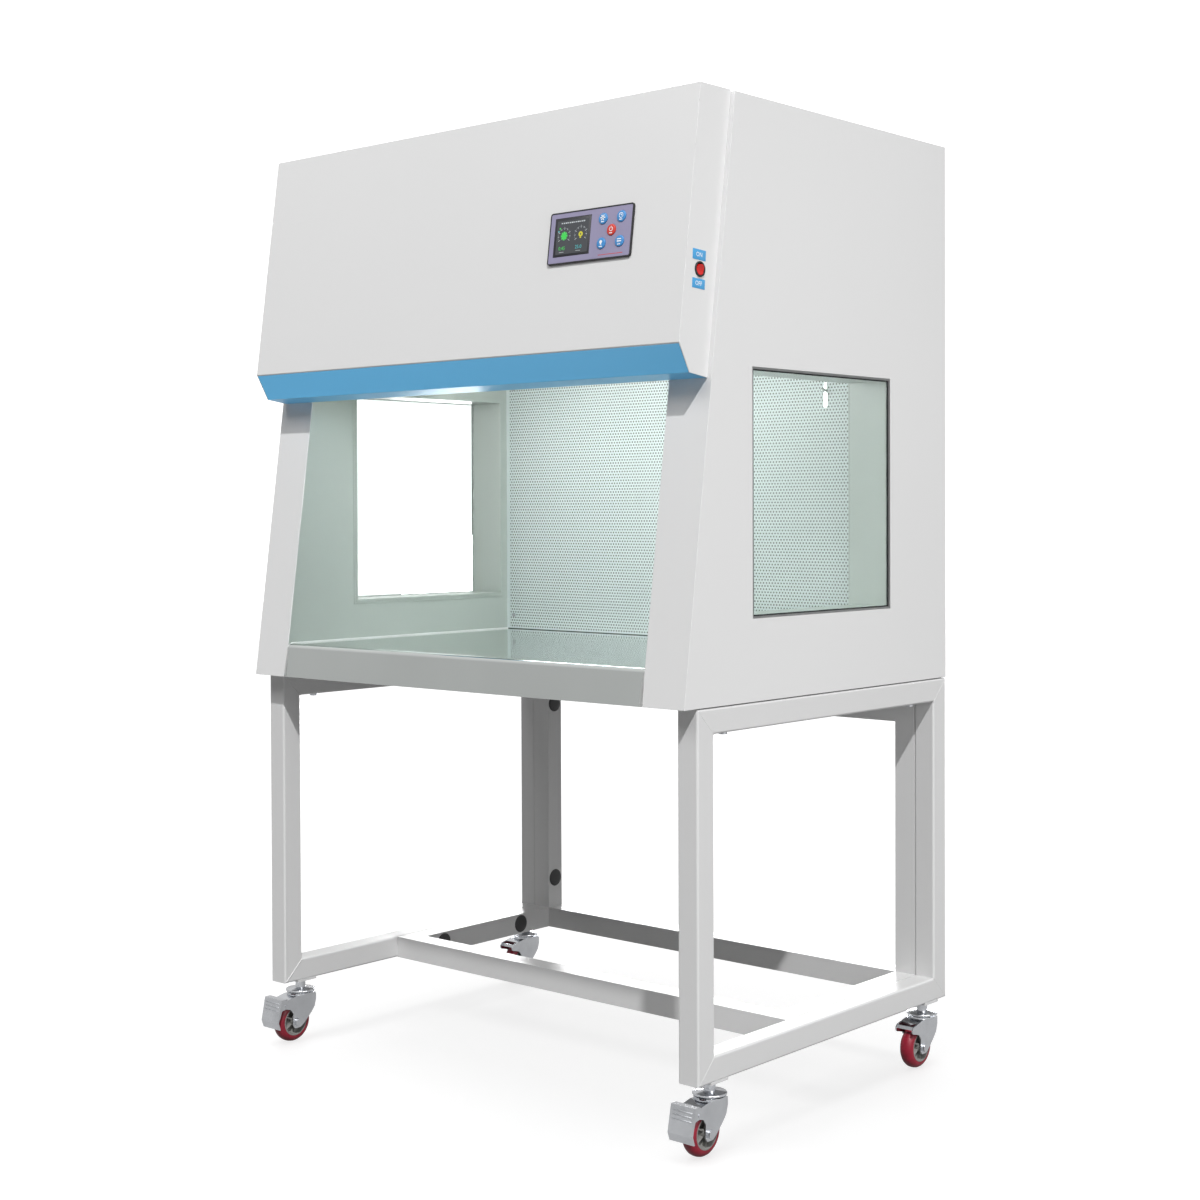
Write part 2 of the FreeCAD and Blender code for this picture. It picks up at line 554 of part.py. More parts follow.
def worktop_and_base():
    start = "-inner_x + fit"
    length = "2 * inner_x - 2 * fit"
    outline = [(slope("skin") + " + apron_lip", "cab_bottom + skin"), (slope("0", "skin"), "cab_bottom + skin"),
               (slope("0", "skin"), "cab_bottom"), (slope("0"), "cab_bottom"),
               (slope("top_rise"), "worktop_z"), ("screen_y - fit", "worktop_z"),
               ("screen_y - fit", "worktop_z - rear_lip"), ("screen_y - fit - skin", "worktop_z - rear_lip"),
               ("screen_y - fit - skin", "worktop_z - skin"), (slope("top_rise - skin", "skin"), "worktop_z - skin"),
               (slope("2 * skin", "skin"), "cab_bottom + 2 * skin"),
               (slope("skin") + " + apron_lip", "cab_bottom + 2 * skin")]
    top = prism("worktop", "X", [outline], start, length)
    nose_y = value("cab_front") + value("lean") * value("top_rise")
    nose_z = value("worktop_z")
    for radius, inset in (("apron_round - skin", value("skin")), ("apron_round", 0)):
        round_edges(top, radius, lambda edge: along(edge, "x") and near_corner(edge, nose_y, nose_z, inset))

    base_y = slope("skin") + " + apron_lip + fit"
    tray = box("base_outer", (length, "rear - skin - fit - (%s)" % base_y, "base_lip"), (start, base_y, "cab_bottom"))
    room = box("base_room", (length + " - 2 * skin", "rear - 3 * skin - fit - (%s)" % base_y, "base_lip"),
               (start + " + skin", "%s + skin" % base_y, "cab_bottom + skin"))
    cut("base_pan", tray, [room])


def back_and_top():
    start = "-inner_x + fit"
    span = "2 * inner_x - 2 * fit"
    back_z = "cab_bottom + base_lip + fit"
    back = box("rear_sheet", (span, "pan_lip", "cab_top - skin - fit - (%s)" % back_z),
               (start, "rear - pan_lip", back_z))
    room = box("rear_room", (span + " - 2 * skin", "pan_lip", "cab_height"),
               (start + " + skin", "rear - pan_lip - skin", "cab_bottom"))
    hole = box("rear_inlet_hole", ("inlet_wide", "4 * skin", "inlet_tall"),
               ("inlet_x - inlet_wide / 2", "rear - 3 * skin", "cab_bottom + inlet_low"))
    cut("rear_panel", back, [room, hole])
    lap = "inlet_face"
    collar = box("inlet_collar", ("inlet_wide + 4 * inlet_wall", lap, "inlet_tall + 4 * inlet_wall"),
                 ("inlet_x - inlet_wide / 2 - 2 * inlet_wall", "rear", "cab_bottom + inlet_low - 2 * inlet_wall"))
    barrel = box("inlet_barrel", ("inlet_wide - 2 * fit", "inlet_deep", "inlet_tall - 2 * fit"),
                 ("inlet_x - inlet_wide / 2 + fit", "rear - inlet_deep", "cab_bottom + inlet_low + fit"))
    socket = box("inlet_socket", ("inlet_wide - 2 * inlet_wall", "inlet_cavity + inlet_face",
                                  "inlet_tall - 2 * inlet_wall"),
                 ("inlet_x - inlet_wide / 2 + inlet_wall", "rear - inlet_cavity",
                  "cab_bottom + inlet_low + inlet_wall"))
    cut("power_inlet", fuse("inlet_raw", [collar, barrel]), [socket])

    intake_y = "bulkhead_y - intake_back - intake_y"
    lid_y = slope("cab_height - skin", "0")
    lid = box("lid_sheet", (span, "rear - skin - fit - (%s)" % lid_y, "skin"), (start, lid_y, "cab_top - skin"))
    well = box("lid_well", ("intake_x + 2 * skin", "intake_y + 2 * skin", "media_thick + 2 * skin"),
               ("-intake_x / 2 - skin", "%s - skin" % intake_y, "cab_top - media_thick - 2 * skin"))
    room = box("lid_room", ("intake_x", "intake_y", "cab_height"),
               ("-intake_x / 2", intake_y, "cab_top - media_thick - skin"))
    hole = box("lid_hole", ("intake_x - 2 * intake_ledge", "intake_y - 2 * intake_ledge", "2 * cab_height"),
               ("-intake_x / 2 + intake_ledge", "%s + intake_ledge" % intake_y, "cab_bottom"))
    cut("top_panel", fuse("lid_raw", [lid, well]), [room, hole])
    box("prefilter_media", ("intake_x - 2 * fit", "intake_y - 2 * fit", "media_thick"),
        ("-intake_x / 2 + fit", "%s + fit" % intake_y, "cab_top - media_thick - skin + fit"))

    plate = box("grille_plate", ("intake_x + 2 * grille_lap", "intake_y + 2 * grille_lap", "grille_thick"),
                ("-intake_x / 2 - grille_lap", "%s - grille_lap" % intake_y, "cab_top"))
    slots = []
    count = int((value("intake_y") - value("slot_wide")) // value("slot_pitch"))
    for k in range(count):
        for side in (-1, 1):
            x = "-intake_x / 2 + slot_wide" if side < 0 else "slot_wide / 2"
            slots.append(box("grille_slot_%d_%d" % (k, side + 1),
                             ("intake_x / 2 - 1.5 * slot_wide", "slot_wide", "grille_thick + 2"),
                             (x, "%s + slot_wide + %d * slot_pitch" % (intake_y, k), "cab_top - 1")))
    cut("prefilter_grille", plate, slots)


def ceiling():
    """Ceiling of the chamber, with its front lip down and its back turned up as the bulkhead."""
    low = "cab_bottom + hood_low / slant"
    low_rise = "hood_low / slant"
    outline = [(slope(low_rise), low), (slope("ceiling_rise"), "ceiling_z"),
               ("bulkhead_y", "ceiling_z"), ("bulkhead_y", "cab_top - skin - fit"),
               ("bulkhead_y + skin", "cab_top - skin - fit"), ("bulkhead_y + skin", "ceiling_z - skin"),
               (slope("ceiling_rise - skin", "skin"), "ceiling_z - skin"), (slope(low_rise, "skin"), low)]
    sheet_part = prism("ceiling_sheet", "X", [outline], "-inner_x + fit", "2 * inner_x - 2 * fit")
    outlet = box("ceiling_outlet", ("2 * casing_half - 2 * skin", "4 * skin",
                                    "fan_growth + fan_gap + fan_radius / 2 - 2 * skin"),
                 ("-casing_half + skin", "bulkhead_y - skin", "fan_z + (fan_radius + fan_gap) / 2 + skin"))
    cut("chamber_ceiling", sheet_part, [outlet])


def filter_and_screen():
    screen_x = "inner_x - fit"
    places = []
    for side in (-1, 1):
        for z in ("worktop_z + screw_up", "ceiling_z - skin - screw_up"):
            x = "-inner_x + screw_in" if side < 0 else "inner_x - screw_in"
            places.append((x, z))
    screen = box("screen_sheet", ("2 * (%s)" % screen_x, "skin", "ceiling_z - skin - worktop_z - 2 * fit"),
                 ("-(%s)" % screen_x, "screen_y", "worktop_z + fit"))
    low = "cab_bottom + skin + fit"
    outer = corners_of("-inner_x + skin + 2 * fit", low, "inner_x - skin - 2 * fit", "ceiling_z - skin - fit")
    inner = corners_of("-inner_x + skin + 2 * fit", low, "inner_x - skin - 2 * fit", "ceiling_z - skin - fit",
                       "filter_rim")
    rim = prism("filter_rim_ring", "Y", [outer, inner], "filter_y", "filter_deep")
    screws = []
    screen_holes = []
    rim_holes = []
    for k, (x, z) in enumerate(places):
        head = cylinder("screw_head_%d" % k, "Y", "screw_head", "screw_head / 2",
                        (x, "screen_y - screw_head / 2", z))
        shank = cylinder("screw_shank_%d" % k, "Y", "screw_radius", "screw_length", (x, "screen_y", z))
        screws.append(fuse("screw_%d" % k, [head, shank]))
        screen_holes.append(cylinder("screen_hole_%d" % k, "Y", "screw_radius + fit", "skin + 2",
                                     (x, "screen_y - 1", z)))
        rim_holes.append(cylinder("rim_hole_%d" % k, "Y", "screw_radius + fit", "screw_length + 1",
                                  (x, "filter_y - 1", z)))
    cut("diffuser", screen, screen_holes)
    group("diffuser_screws", screws)
    cut("hepa_frame", rim, rim_holes)
    pleats()


def pleats():
    """The folded filter paper: one zigzag sheet, its folds across the width."""
    count = int(value("pleat_count"))
    reach = value("inner_x") - value("skin") - 3 * value("fit") - value("filter_rim")
    low = value("cab_bottom") + value("skin") + 2 * value("fit") + value("filter_rim")
    high = value("ceiling_z") - value("skin") - 2 * value("fit") - value("filter_rim")
    step = (high - low) / count
    middle = value("filter_y") + value("filter_deep") / 2
    half = value("pleat_depth") / 2
    paper = step / 3
    front_side = []
    back_side = []
    for k in range(count + 1):
        y = middle + (half if k % 2 else -half)
        z = low + k * step
        front_side.append(Vec(-reach, y - paper / 2, z))
        back_side.append(Vec(-reach, y + paper / 2, z))
    outline = front_side + back_side[::-1]
    face = Part.Face(Part.makePolygon(outline + outline[:1]))
    paper_pack = doc.addObject("Part::Feature", "hepa_media")
    paper_pack.Shape = face.extrude(Vec(2 * reach, 0, 0))


# Blower


def scroll_outline(inset, past):
    """Spiral wall of the blower, growing clockwise from the cut-off to the top and then
    straight on to the outlet; a closed wire in the middle plane."""
    start_angle = math.radians(30)
    sweep = math.radians(300)
    steps = 10
    cut_off = value("fan_radius") + value("fan_gap")
    centre = Vec(0, value("fan_y"), value("fan_z"))

    def at(turn):
        radius = cut_off + value("fan_growth") * turn / sweep - inset
        angle = start_angle - turn
        return centre + Vec(0, radius * math.cos(angle), radius * math.sin(angle))

    edges = []
    for k in range(steps):
        first = at(sweep * k / steps)
        halfway = at(sweep * (k + 0.5) / steps)
        last = at(sweep * (k + 1) / steps)
        edges.append(Part.Arc(first, halfway, last).toShape())
    mouth_y = value("bulkhead_y") + past
    top = at(sweep)
    tongue = at(0)
    low = Vec(0, mouth_y, centre.z + cut_off * math.sin(start_angle) + inset)
    shelf = Vec(0, tongue.y, low.z)
    corners = [top, Vec(0, mouth_y, top.z), low, shelf]
    for a, b in zip(corners, corners[1:]):
        edges.append(Part.LineSegment(a, b).toShape())
    if shelf.distanceToPoint(tongue) > 1e-6:
        edges.append(Part.LineSegment(shelf, tongue).toShape())
    return Part.Wire(Part.__sortEdges__(edges))


def blower():
    half = value("casing_half")
    skin = value("skin")
    outside = Part.Face(scroll_outline(0, 0)).extrude(Vec(2 * half, 0, 0))
    outside.translate(Vec(-half, 0, 0))
    inside = Part.Face(scroll_outline(skin, 2 * skin)).extrude(Vec(2 * (half - skin), 0, 0))
    inside.translate(Vec(skin - half, 0, 0))
    solid = doc.addObject("Part::Feature", "scroll_solid")
    solid.Shape = outside
    room = doc.addObject("Part::Feature", "scroll_room")
    room.Shape = inside
    eyes = cylinder("scroll_eyes", "X", "inlet_radius", "2 * casing_half + 2", ("-casing_half - 1", "fan_y", "fan_z"))
    shell = cut("scroll_shell", solid, [room, eyes])
    feet = []
    for k, side in enumerate((-1, 1)):
        x = "-casing_half" if side < 0 else "casing_half - skin"
        foot = prism("scroll_foot_%d" % k, "X",
                     [[("fan_y - foot_wide * 2", "ceiling_z"), ("fan_y + foot_wide * 2", "ceiling_z"),
                       ("fan_y + foot_wide", "fan_z - inlet_radius - foot_wide"),
                       ("fan_y - foot_wide", "fan_z - inlet_radius - foot_wide")]], x, "skin")
        feet.append(foot)
    fuse("blower_housing", [shell] + feet)

    # Impeller: centre disc and hub, a drum of curved blades and an end ring on each side
    wheel_body = turned("blower_impeller", [("0", "shaft_radius + fit"), ("hub_long", "shaft_radius + fit"),
                                            ("hub_long", "hub_radius"), ("disc_thick", "hub_radius"),
                                            ("disc_thick", "fan_radius"), ("0", "fan_radius")])
    blade = sketch(wheel_body, "blade_profile", "YZ_Plane", "-fan_half")
    polygon(blade, [("fan_inner", "0"), ("(fan_inner + fan_radius) / 2", "blade_lead * 0.3"),
                    ("fan_radius", "blade_lead"), ("fan_radius - blade_thick / 2", "blade_lead + blade_thick"),
                    ("(fan_inner + fan_radius) / 2 - blade_thick / 2", "blade_lead * 0.3 + blade_thick"),
                    ("fan_inner", "blade_thick")])
    blade_pad = pad(wheel_body, blade, "2 * fan_half")
    rings = sketch(wheel_body, "ring_profile", "YZ_Plane", "-fan_half")
    ring_circles(rings, ("fan_inner", "fan_radius"))
    pad(wheel_body, rings, "fan_ring")
    far_rings = sketch(wheel_body, "far_ring_profile", "YZ_Plane", "fan_half - fan_ring")
    ring_circles(far_rings, ("fan_inner", "fan_radius"))
    pad(wheel_body, far_rings, "fan_ring")
    spin = wheel_body.newObject("PartDesign::PolarPattern", "blade_pattern")
    spin.Originals = [blade_pad]
    spin.Axis = (blade, ["N_Axis"])
    spin.Angle = 360
    spin.Occurrences = int(value("fan_blades"))
    wheel_body.Tip = spin
    place(wheel_body, "0", "fan_y", "fan_z")

    can = cylinder("motor_can", "X", "motor_radius", "motor_long", ("-fit - motor_long", "fan_y", "fan_z"))
    shaft = cylinder("motor_shaft", "X", "shaft_radius", "motor_long + hub_long + fit",
                     ("-fit - motor_long", "fan_y", "fan_z"))
    neck = cylinder("motor_neck", "X", "motor_radius / 2", "casing_half - motor_long + arm_thick",
                    ("-casing_half - arm_thick", "fan_y", "fan_z"))
    arms = [can, shaft, neck]
    for k in range(3):
        arm = box("motor_arm_%d" % k, ("arm_thick", "arm_wide", "arm_reach"),
                  ("-casing_half - arm_thick", "fan_y", "fan_z"))
        arm.Placement.Rotation = FreeCAD.Rotation(Vec(1, 0, 0), 120 * k)
        arms.append(arm)
    fuse("blower_motor", arms)


def ring_circles(drawing, radii):
    """Circles about the sketch's own origin, each radius bound to the sheet."""
    for text in radii:
        index = drawing.addGeometry(Part.Circle(Vec(), Vec(0, 0, 1), 1), False)
        drawing.addConstraint(Sketcher.Constraint("Coincident", index, 3, -1, 1))
        rule = drawing.addConstraint(Sketcher.Constraint("Radius", index, 1.0))
        drawing.setExpression("Constraints[%d]" % rule, link(text))


# Lamps under the ceiling, behind the hood


def lamps():
    under = "ceiling_z - skin"
    y = "front + lamp_back"
    tray = box("lamp_tray", ("lamp_long", "lamp_wide", "lamp_tall - fit"),
               ("-lamp_long / 2", y + " - lamp_wide / 2", under + " - lamp_tall"))
    pieces = [tray]
    tubes = []
    for k, shift in enumerate(("-lamp_spread / 2", "lamp_spread / 2")):
        z = under + " - lamp_tall - lamp_drop"
        tube_y = "%s + %s" % (y, shift)
        tubes.append(cylinder("lamp_tube_%d" % k, "X", "lamp_radius", "lamp_long - 2 * holder_thick - 2 * fit",
                              ("-lamp_long / 2 + holder_thick + fit", tube_y, z)))
    for k, x in enumerate(("-lamp_long / 2", "lamp_long / 2 - holder_thick")):
        pieces.append(box("lamp_holder_%d" % k, ("holder_thick", "lamp_spread + 2 * lamp_radius",
                                                 "lamp_drop + lamp_radius"),
                          (x, "%s - lamp_spread / 2 - lamp_radius" % y,
                           under + " - lamp_tall - lamp_drop - lamp_radius")))
    fuse("lamp_fitting", pieces)
    group("lamp_tubes", tubes)


# Hood, drawn against the front plane and then leaned with it


def hood():
    lean_top = "lean * hood_proud"
    outline = [("face", "hood_bend"), ("face", "hood_high"), ("0", "hood_high + %s" % lean_top),
               ("0", "hood_low"), ("-hood_foot", "hood_low")]
    block = prism("hood_block", "X", [outline], "-hood_half", "2 * hood_half")
    room = prism("hood_room", "X",
                 [[("face + skin", "hood_low - skin"), ("face + skin", "hood_high - skin * slant + lean * skin"),
                   ("skin", "hood_high + %s - skin * slant + lean * skin" % lean_top), ("skin", "hood_low - skin")]],
                 "-hood_half + skin", "2 * hood_half - 2 * skin")
    window = box("hood_window", ("panel_wide - 2 * panel_lap", "4 * skin", "panel_tall - 2 * panel_lap"),
                 ("panel_x + panel_lap", "face - skin", "panel_low + panel_lap"))
    port = cylinder("hood_port", "X", "switch_barrel + fit", "4 * skin",
                    ("hood_half - 2 * skin", "-switch_deep", "switch_up"))
    leaned(cut("hood_cover", block, [room, window, port]))

    run = "(hood_proud - hood_foot)"
    rise = "(hood_bend - hood_low)"
    edge_y = "face + skin + fit"
    edge_z = "hood_bend - (skin + fit) * %s / %s" % (rise, run)
    sheet_rise = "skin * sqrt(%s * %s + %s * %s) / %s" % (run, run, rise, rise, run)
    inner_z = "hood_low + skin"
    inner_y = "%s + (%s + %s - (%s)) * %s / %s" % (edge_y, edge_z, sheet_rise, inner_z, run, rise)
    skirt = prism("hood_skirt", "X",
                  [[(edge_y, edge_z), ("-hood_foot", "hood_low"), ("-fit", "hood_low"), ("-fit", inner_z),
                    (inner_y, inner_z), (edge_y, "%s + %s" % (edge_z, sheet_rise))]],
                  "-hood_half + skin + fit", "2 * (hood_half - skin - fit)")
    leaned(skirt)


# Keys, as how far their middles lie from the panel's left and lower edges
KEYS = {"key_fan": (111, 63.5), "key_timer": (148.5, 63.5), "key_power": (130, 43.9),
        "key_lamp": (111, 24.2), "key_uv": (148.5, 24.5)}


def controls():
    plate = prism("bezel_plate", "Y", [corners_of("panel_x", "panel_low", "panel_x + panel_wide",
                                                  "panel_low + panel_tall")], "face - panel_thick", "panel_thick")
    round_edges(plate, "panel_thick", lambda edge: along(edge, "y"))
    tools = [box("bezel_window", ("screen_wide", "panel_thick + 2", "screen_tall"),
                 ("screen_x", "face - panel_thick - 1", "screen_low"))]
    for node, (across, rise) in KEYS.items():
        x = "panel_x + %s" % across
        z = "panel_low + %s" % rise
        tools.append(cylinder(node + "_hole", "Y", "key_radius + key_gap", "panel_thick + 2",
                              (x, "face - panel_thick - 1", z)))
        cap_back = "panel_thick + key_rise"
        flange = "key_radius + key_flange"
        reach = "board_back - key_travel - 2 * fit"
        points = [("0", "face - (%s)" % cap_back), ("key_radius * 0.9", "face - (%s)" % cap_back),
                  ("key_radius", "face - (%s) + key_radius * 0.1" % cap_back), ("key_radius", "face + fit"),
                  (flange, "face + fit"), (flange, "face + fit + key_flange_thick"),
                  ("key_stem", "face + fit + key_flange_thick"), ("key_stem", "face + " + reach),
                  ("0", "face + " + reach)]
        leaned(key_at(node, points, z), x)
    leaned(cut("control_bezel", plate, tools))
    leaned(group("display", [box("display_glass", ("screen_wide - 2 * fit", "panel_thick - screen_sink + board_back - fit",
                           "screen_tall - 2 * fit"),
               ("screen_x + fit", "face - panel_thick + screen_sink", "screen_low + fit"))]))
    lap = "panel_lap + fit"
    leaned(group("control_board", [box("board_sheet", ("panel_wide - 2 * (%s)" % lap, "board_thick", "panel_tall - 2 * (%s)" % lap),
               ("panel_x + %s" % lap, "face + board_back", "panel_low + %s" % lap))]))


def key_at(node, points, z):
    """A round key turned about its own axis, at a height up the slope."""
    body = turned(node + "_turning", points, "XY_Plane", "V_Axis")
    place(body, "0", "0", z)
    moved = doc.addObject("Part::Compound", node)
    moved.Links = [body]
    return moved


def switch():
    collar = "hood_half + switch_rise"
    points = [("hood_half - switch_long", "0"), ("hood_half - switch_long", "switch_barrel"),
              ("hood_half", "switch_barrel"), ("hood_half", "switch_bezel"), (collar, "switch_bezel"),
              (collar, "switch_cavity"), ("hood_half - switch_long / 2", "switch_cavity"),
              ("hood_half - switch_long / 2", "0")]
    housing = place(turned("switch_turning", points), "0", "-switch_deep", "switch_up")
    leaned(group("switch_housing", [housing]))

    disc = cylinder("rocker_disc", "X", "rocker_half", "rocker_proud + rocker_back", ("-rocker_back", "0", "0"))
    dish = cylinder("rocker_dish", "Y", "rocker_half * 2", "3 * rocker_half",
                    ("rocker_proud + rocker_half * 1.85", "-1.5 * rocker_half", "0"))
    pin = cylinder("rocker_pin_rod", "Y", "rocker_pin", "2 * switch_cavity - 4 * fit",
                   ("0", "-switch_cavity + 2 * fit", "0"))
    rocker = fuse("rocker_raw", [cut("rocker_cap", disc, [dish]), pin])
    rocker.Placement.Rotation = FreeCAD.Rotation(Vec(0, 1, 0), 1)
    rocker.setExpression("Placement.Rotation.Angle", link("rocker_tilt * 1"))
    place(rocker, "hood_half - rocker_pivot", "-switch_deep", "switch_up")
    leaned(group("switch_rocker", [rocker]))


# Small pieces in and on the cabinet


def hook_and_eye():
    low = "cab_bottom + hook_low"
    plate = box("hook_plate", ("hook_wide", "hook_thick", "hook_tall"),
                ("hook_x - hook_wide / 2", "screen_y - hook_thick", low))
    peg = cylinder("hook_peg", "Y", "peg_radius", "peg_long + hook_thick / 2",
                   ("hook_x", "screen_y - hook_thick - peg_long", low + " + hook_peg"))
    ball = doc.addObject("Part::Sphere", "hook_ball")
    ball.setExpression("Radius", link("ball_radius"))
    place(ball, "hook_x", "screen_y - hook_thick - peg_long", low + " + hook_peg")
    fuse("accessory_hook", [plate, peg, ball])

    x = "width / 2 - eye_in"
    y = "front + eye_back"
    base = cylinder("eye_base", "Z", "eye_neck", "2 * eye_wire", (x, y, "cab_top"))
    ring = doc.addObject("Part::Torus", "eye_loop")
    ring.Placement.Rotation = FreeCAD.Rotation(Vec(0, 1, 0), 90)
    ring.setExpression("Radius1", link("eye_ring"))
    ring.setExpression("Radius2", link("eye_wire"))
    place(ring, x, y, "cab_top + 2 * eye_wire + eye_ring + eye_wire / 2")
    fuse("lifting_eye", [base, ring])


NODES = ["left_side_frame", "right_side_frame", "connecting_frame", "frame_bolts", "hole_plugs", "cabinet_pads",
         "caster_stems", "left_side_panel", "right_side_panel", "left_liner", "right_liner",
         "left_window_glass", "right_window_glass", "left_window_gasket", "right_window_gasket",
         "base_pan", "worktop", "rear_panel", "top_panel", "prefilter_grille", "prefilter_media",
         "chamber_ceiling", "diffuser", "diffuser_screws", "hepa_frame", "hepa_media", "blower_housing",
         "blower_motor", "blower_impeller", "lamp_fitting", "lamp_tubes", "hood_cover", "hood_skirt",
         "control_bezel", "display", "control_board", "switch_housing", "switch_rocker", "power_inlet",
         "accessory_hook", "lifting_eye"]
NODES += list(KEYS)
for corner in STEMS:
    NODES += [corner + "_caster_fork", corner + "_caster_tyre", corner + "_caster_hub"]
    if corner.startswith("front"):
        NODES.append(corner + "_brake_pedal")


def write_parts():
    doc.recompute()
    failed = [obj.Name for obj in doc.Objects if {"Invalid", "Error"} & set(obj.State)]
    assert not failed, "failed: %s" % failed
    os.makedirs("parts", exist_ok=True)
    shapes = {node: doc.getObject(node).Shape for node in NODES}
    for node, shape in shapes.items():
        assert not shape.isNull() and shape.isValid() and shape.Volume > 0, node
    for node, shape in shapes.items():
        doc.getObject(node).Label = node
        shape.exportStep("parts/%s.step" % node)
    print("%d nodes written" % len(shapes))


side_frame()
connecting_frame()
plugs_and_bolts()
pads()
casters()
side_walls()
worktop_and_base()
back_and_top()
ceiling()
filter_and_screen()
blower()
lamps()
hood()
controls()
switch()
hook_and_eye()
write_parts()
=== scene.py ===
"""Looks of a horizontal laminar flow cabinet on its wheeled stand."""
import json
import math

import bmesh
import bpy
from bpy.props import FloatProperty, FloatVectorProperty, IntProperty, PointerProperty
from mathutils import Matrix, Vector

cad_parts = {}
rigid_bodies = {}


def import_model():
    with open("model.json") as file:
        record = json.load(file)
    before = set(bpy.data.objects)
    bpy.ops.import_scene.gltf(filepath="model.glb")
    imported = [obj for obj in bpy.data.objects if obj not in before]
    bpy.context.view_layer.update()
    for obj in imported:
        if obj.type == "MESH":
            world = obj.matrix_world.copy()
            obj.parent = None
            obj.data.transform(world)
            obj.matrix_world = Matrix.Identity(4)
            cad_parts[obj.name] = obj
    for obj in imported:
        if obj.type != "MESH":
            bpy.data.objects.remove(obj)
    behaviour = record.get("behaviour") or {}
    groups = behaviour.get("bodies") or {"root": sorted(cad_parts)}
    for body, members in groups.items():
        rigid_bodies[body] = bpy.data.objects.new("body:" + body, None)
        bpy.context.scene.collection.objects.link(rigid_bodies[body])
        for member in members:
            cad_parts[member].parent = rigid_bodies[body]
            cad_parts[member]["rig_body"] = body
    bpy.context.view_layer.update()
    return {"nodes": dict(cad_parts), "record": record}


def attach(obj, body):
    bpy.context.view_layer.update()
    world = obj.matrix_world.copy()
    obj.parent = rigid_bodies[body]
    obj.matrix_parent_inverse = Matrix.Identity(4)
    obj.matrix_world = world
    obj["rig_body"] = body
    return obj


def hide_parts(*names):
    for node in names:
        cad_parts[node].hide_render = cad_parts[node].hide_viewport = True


bl_info = {
    "name": "Laminar flow cabinet",
    "version": (1, 0, 0),
    "blender": (4, 5, 0),
    "location": "View3D > Sidebar > Flow cabinet",
    "description": "Finishes and fine pieces of a horizontal laminar flow cabinet on its wheeled stand",
    "category": "Object",
}

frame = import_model()

MM = 0.001
FRONT, REAR = -0.339, 0.371
FRAME_LOW, FRAME_TOP = 0.114, 0.684
FRAME_OUTSIDE, FRAME_INSIDE, TUBE = 0.505, 0.465, 0.04
CAB_LOW, CAB_FRONT = 0.6855, -0.371
LEAN = math.atan(129 / 940)
INNER_X, WORKTOP_Z, CEILING_Z, SCREEN_Y = 0.422, 0.745, 1.26, 0.2075
SCREEN_TOP = CEILING_Z - 0.0015
HOOD_HALF, HOOD_PROUD = 0.497, 74.3
SLOPE = Matrix.Translation((0, CAB_FRONT, CAB_LOW)) @ Matrix.Rotation(-LEAN, 4, "X")
PANEL_FACE = -(HOOD_PROUD + 3)
KEY_FACE = -(HOOD_PROUD + 4.6)


def rgb(red, green, blue):
    """A colour given as it shows on a screen, as the renderer's linear values."""
    return tuple(c / 12.92 / 255 if c <= 10 else ((c / 255 + 0.055) / 1.055) ** 2.4 for c in (red, green, blue))


def tint(name, colour, description):
    return FloatVectorProperty(name=name, description=description, subtype="COLOR", size=3, min=0, max=1,
                               default=rgb(*colour))


def span(name, length, description, unit="LENGTH"):
    return FloatProperty(name=name, description=description, default=length, min=0, unit=unit)


class CabinetColours(bpy.types.PropertyGroup):
    """Colours of the finishes."""
    body: tint("Cabinet paint", (219, 219, 219), "White paint of the cabinet and the hood")
    stand: tint("Stand paint", (211, 211, 211), "Light paint of the stand's tubes")
    hood: tint("Hood blue", (84, 172, 220), "Blue of the hood's slanted foot")
    chamber: tint("Chamber paint", (196, 204, 198), "Pale paint of the walls around the work space")
    panel: tint("Panel face", (148, 143, 172), "Foil of the control panel")
    key_blue: tint("Blue keys", (66, 138, 200), "Caps of the four blue keys")
    key_red: tint("Red key", (204, 58, 46), "Cap of the power key")
    label: tint("Switch labels", (72, 158, 212), "Plates beside the mains switch")
    tread: tint("Tread", (140, 18, 42), "Polyurethane tread of the wheels")
    hub: tint("Wheel body", (136, 135, 132), "Moulded body of the wheels")


class CabinetDetails(bpy.types.PropertyGroup):
    """Sizes of the fine details."""
    edge: span("Edge round", 0.0007, "Radius of folded and cut edges of painted sheet")
    hole_pitch: span("Hole pitch", 0.0065, "Distance between neighbouring holes of the perforated screen")
    hole_row: span("Hole row", 0.0056, "Distance between rows of holes")
    hole_size: span("Hole size", 0.0033, "Diameter of the holes")
    bead: span("Sealant bead", 0.0024, "Radius of the bead along the worktop's ends")
    weld: span("Weld seam", 0.0009, "Radius of the seam across each mitred corner")
    rib_count: IntProperty(name="Pedal ribs", description="Ribs pressed across each brake pedal", default=3, min=1)


def colours():
    return bpy.context.scene.cabinet_colours


def details():
    return bpy.context.scene.cabinet_details


# Materials


def shader(name, colour, roughness, metallic=0.0, **sockets):
    """A new material and its tree and main shader, with constants on the shader's own sockets."""
    material = bpy.data.materials.new(name)
    material.use_nodes = True
    base = material.node_tree.nodes["Principled BSDF"]
    base.inputs["Base Color"].default_value = (*colour, 1)
    base.inputs["Roughness"].default_value = roughness
    base.inputs["Metallic"].default_value = metallic
    for socket, number in sockets.items():
        base.inputs[socket.replace("_", " ")].default_value = number
    return material, material.node_tree, base


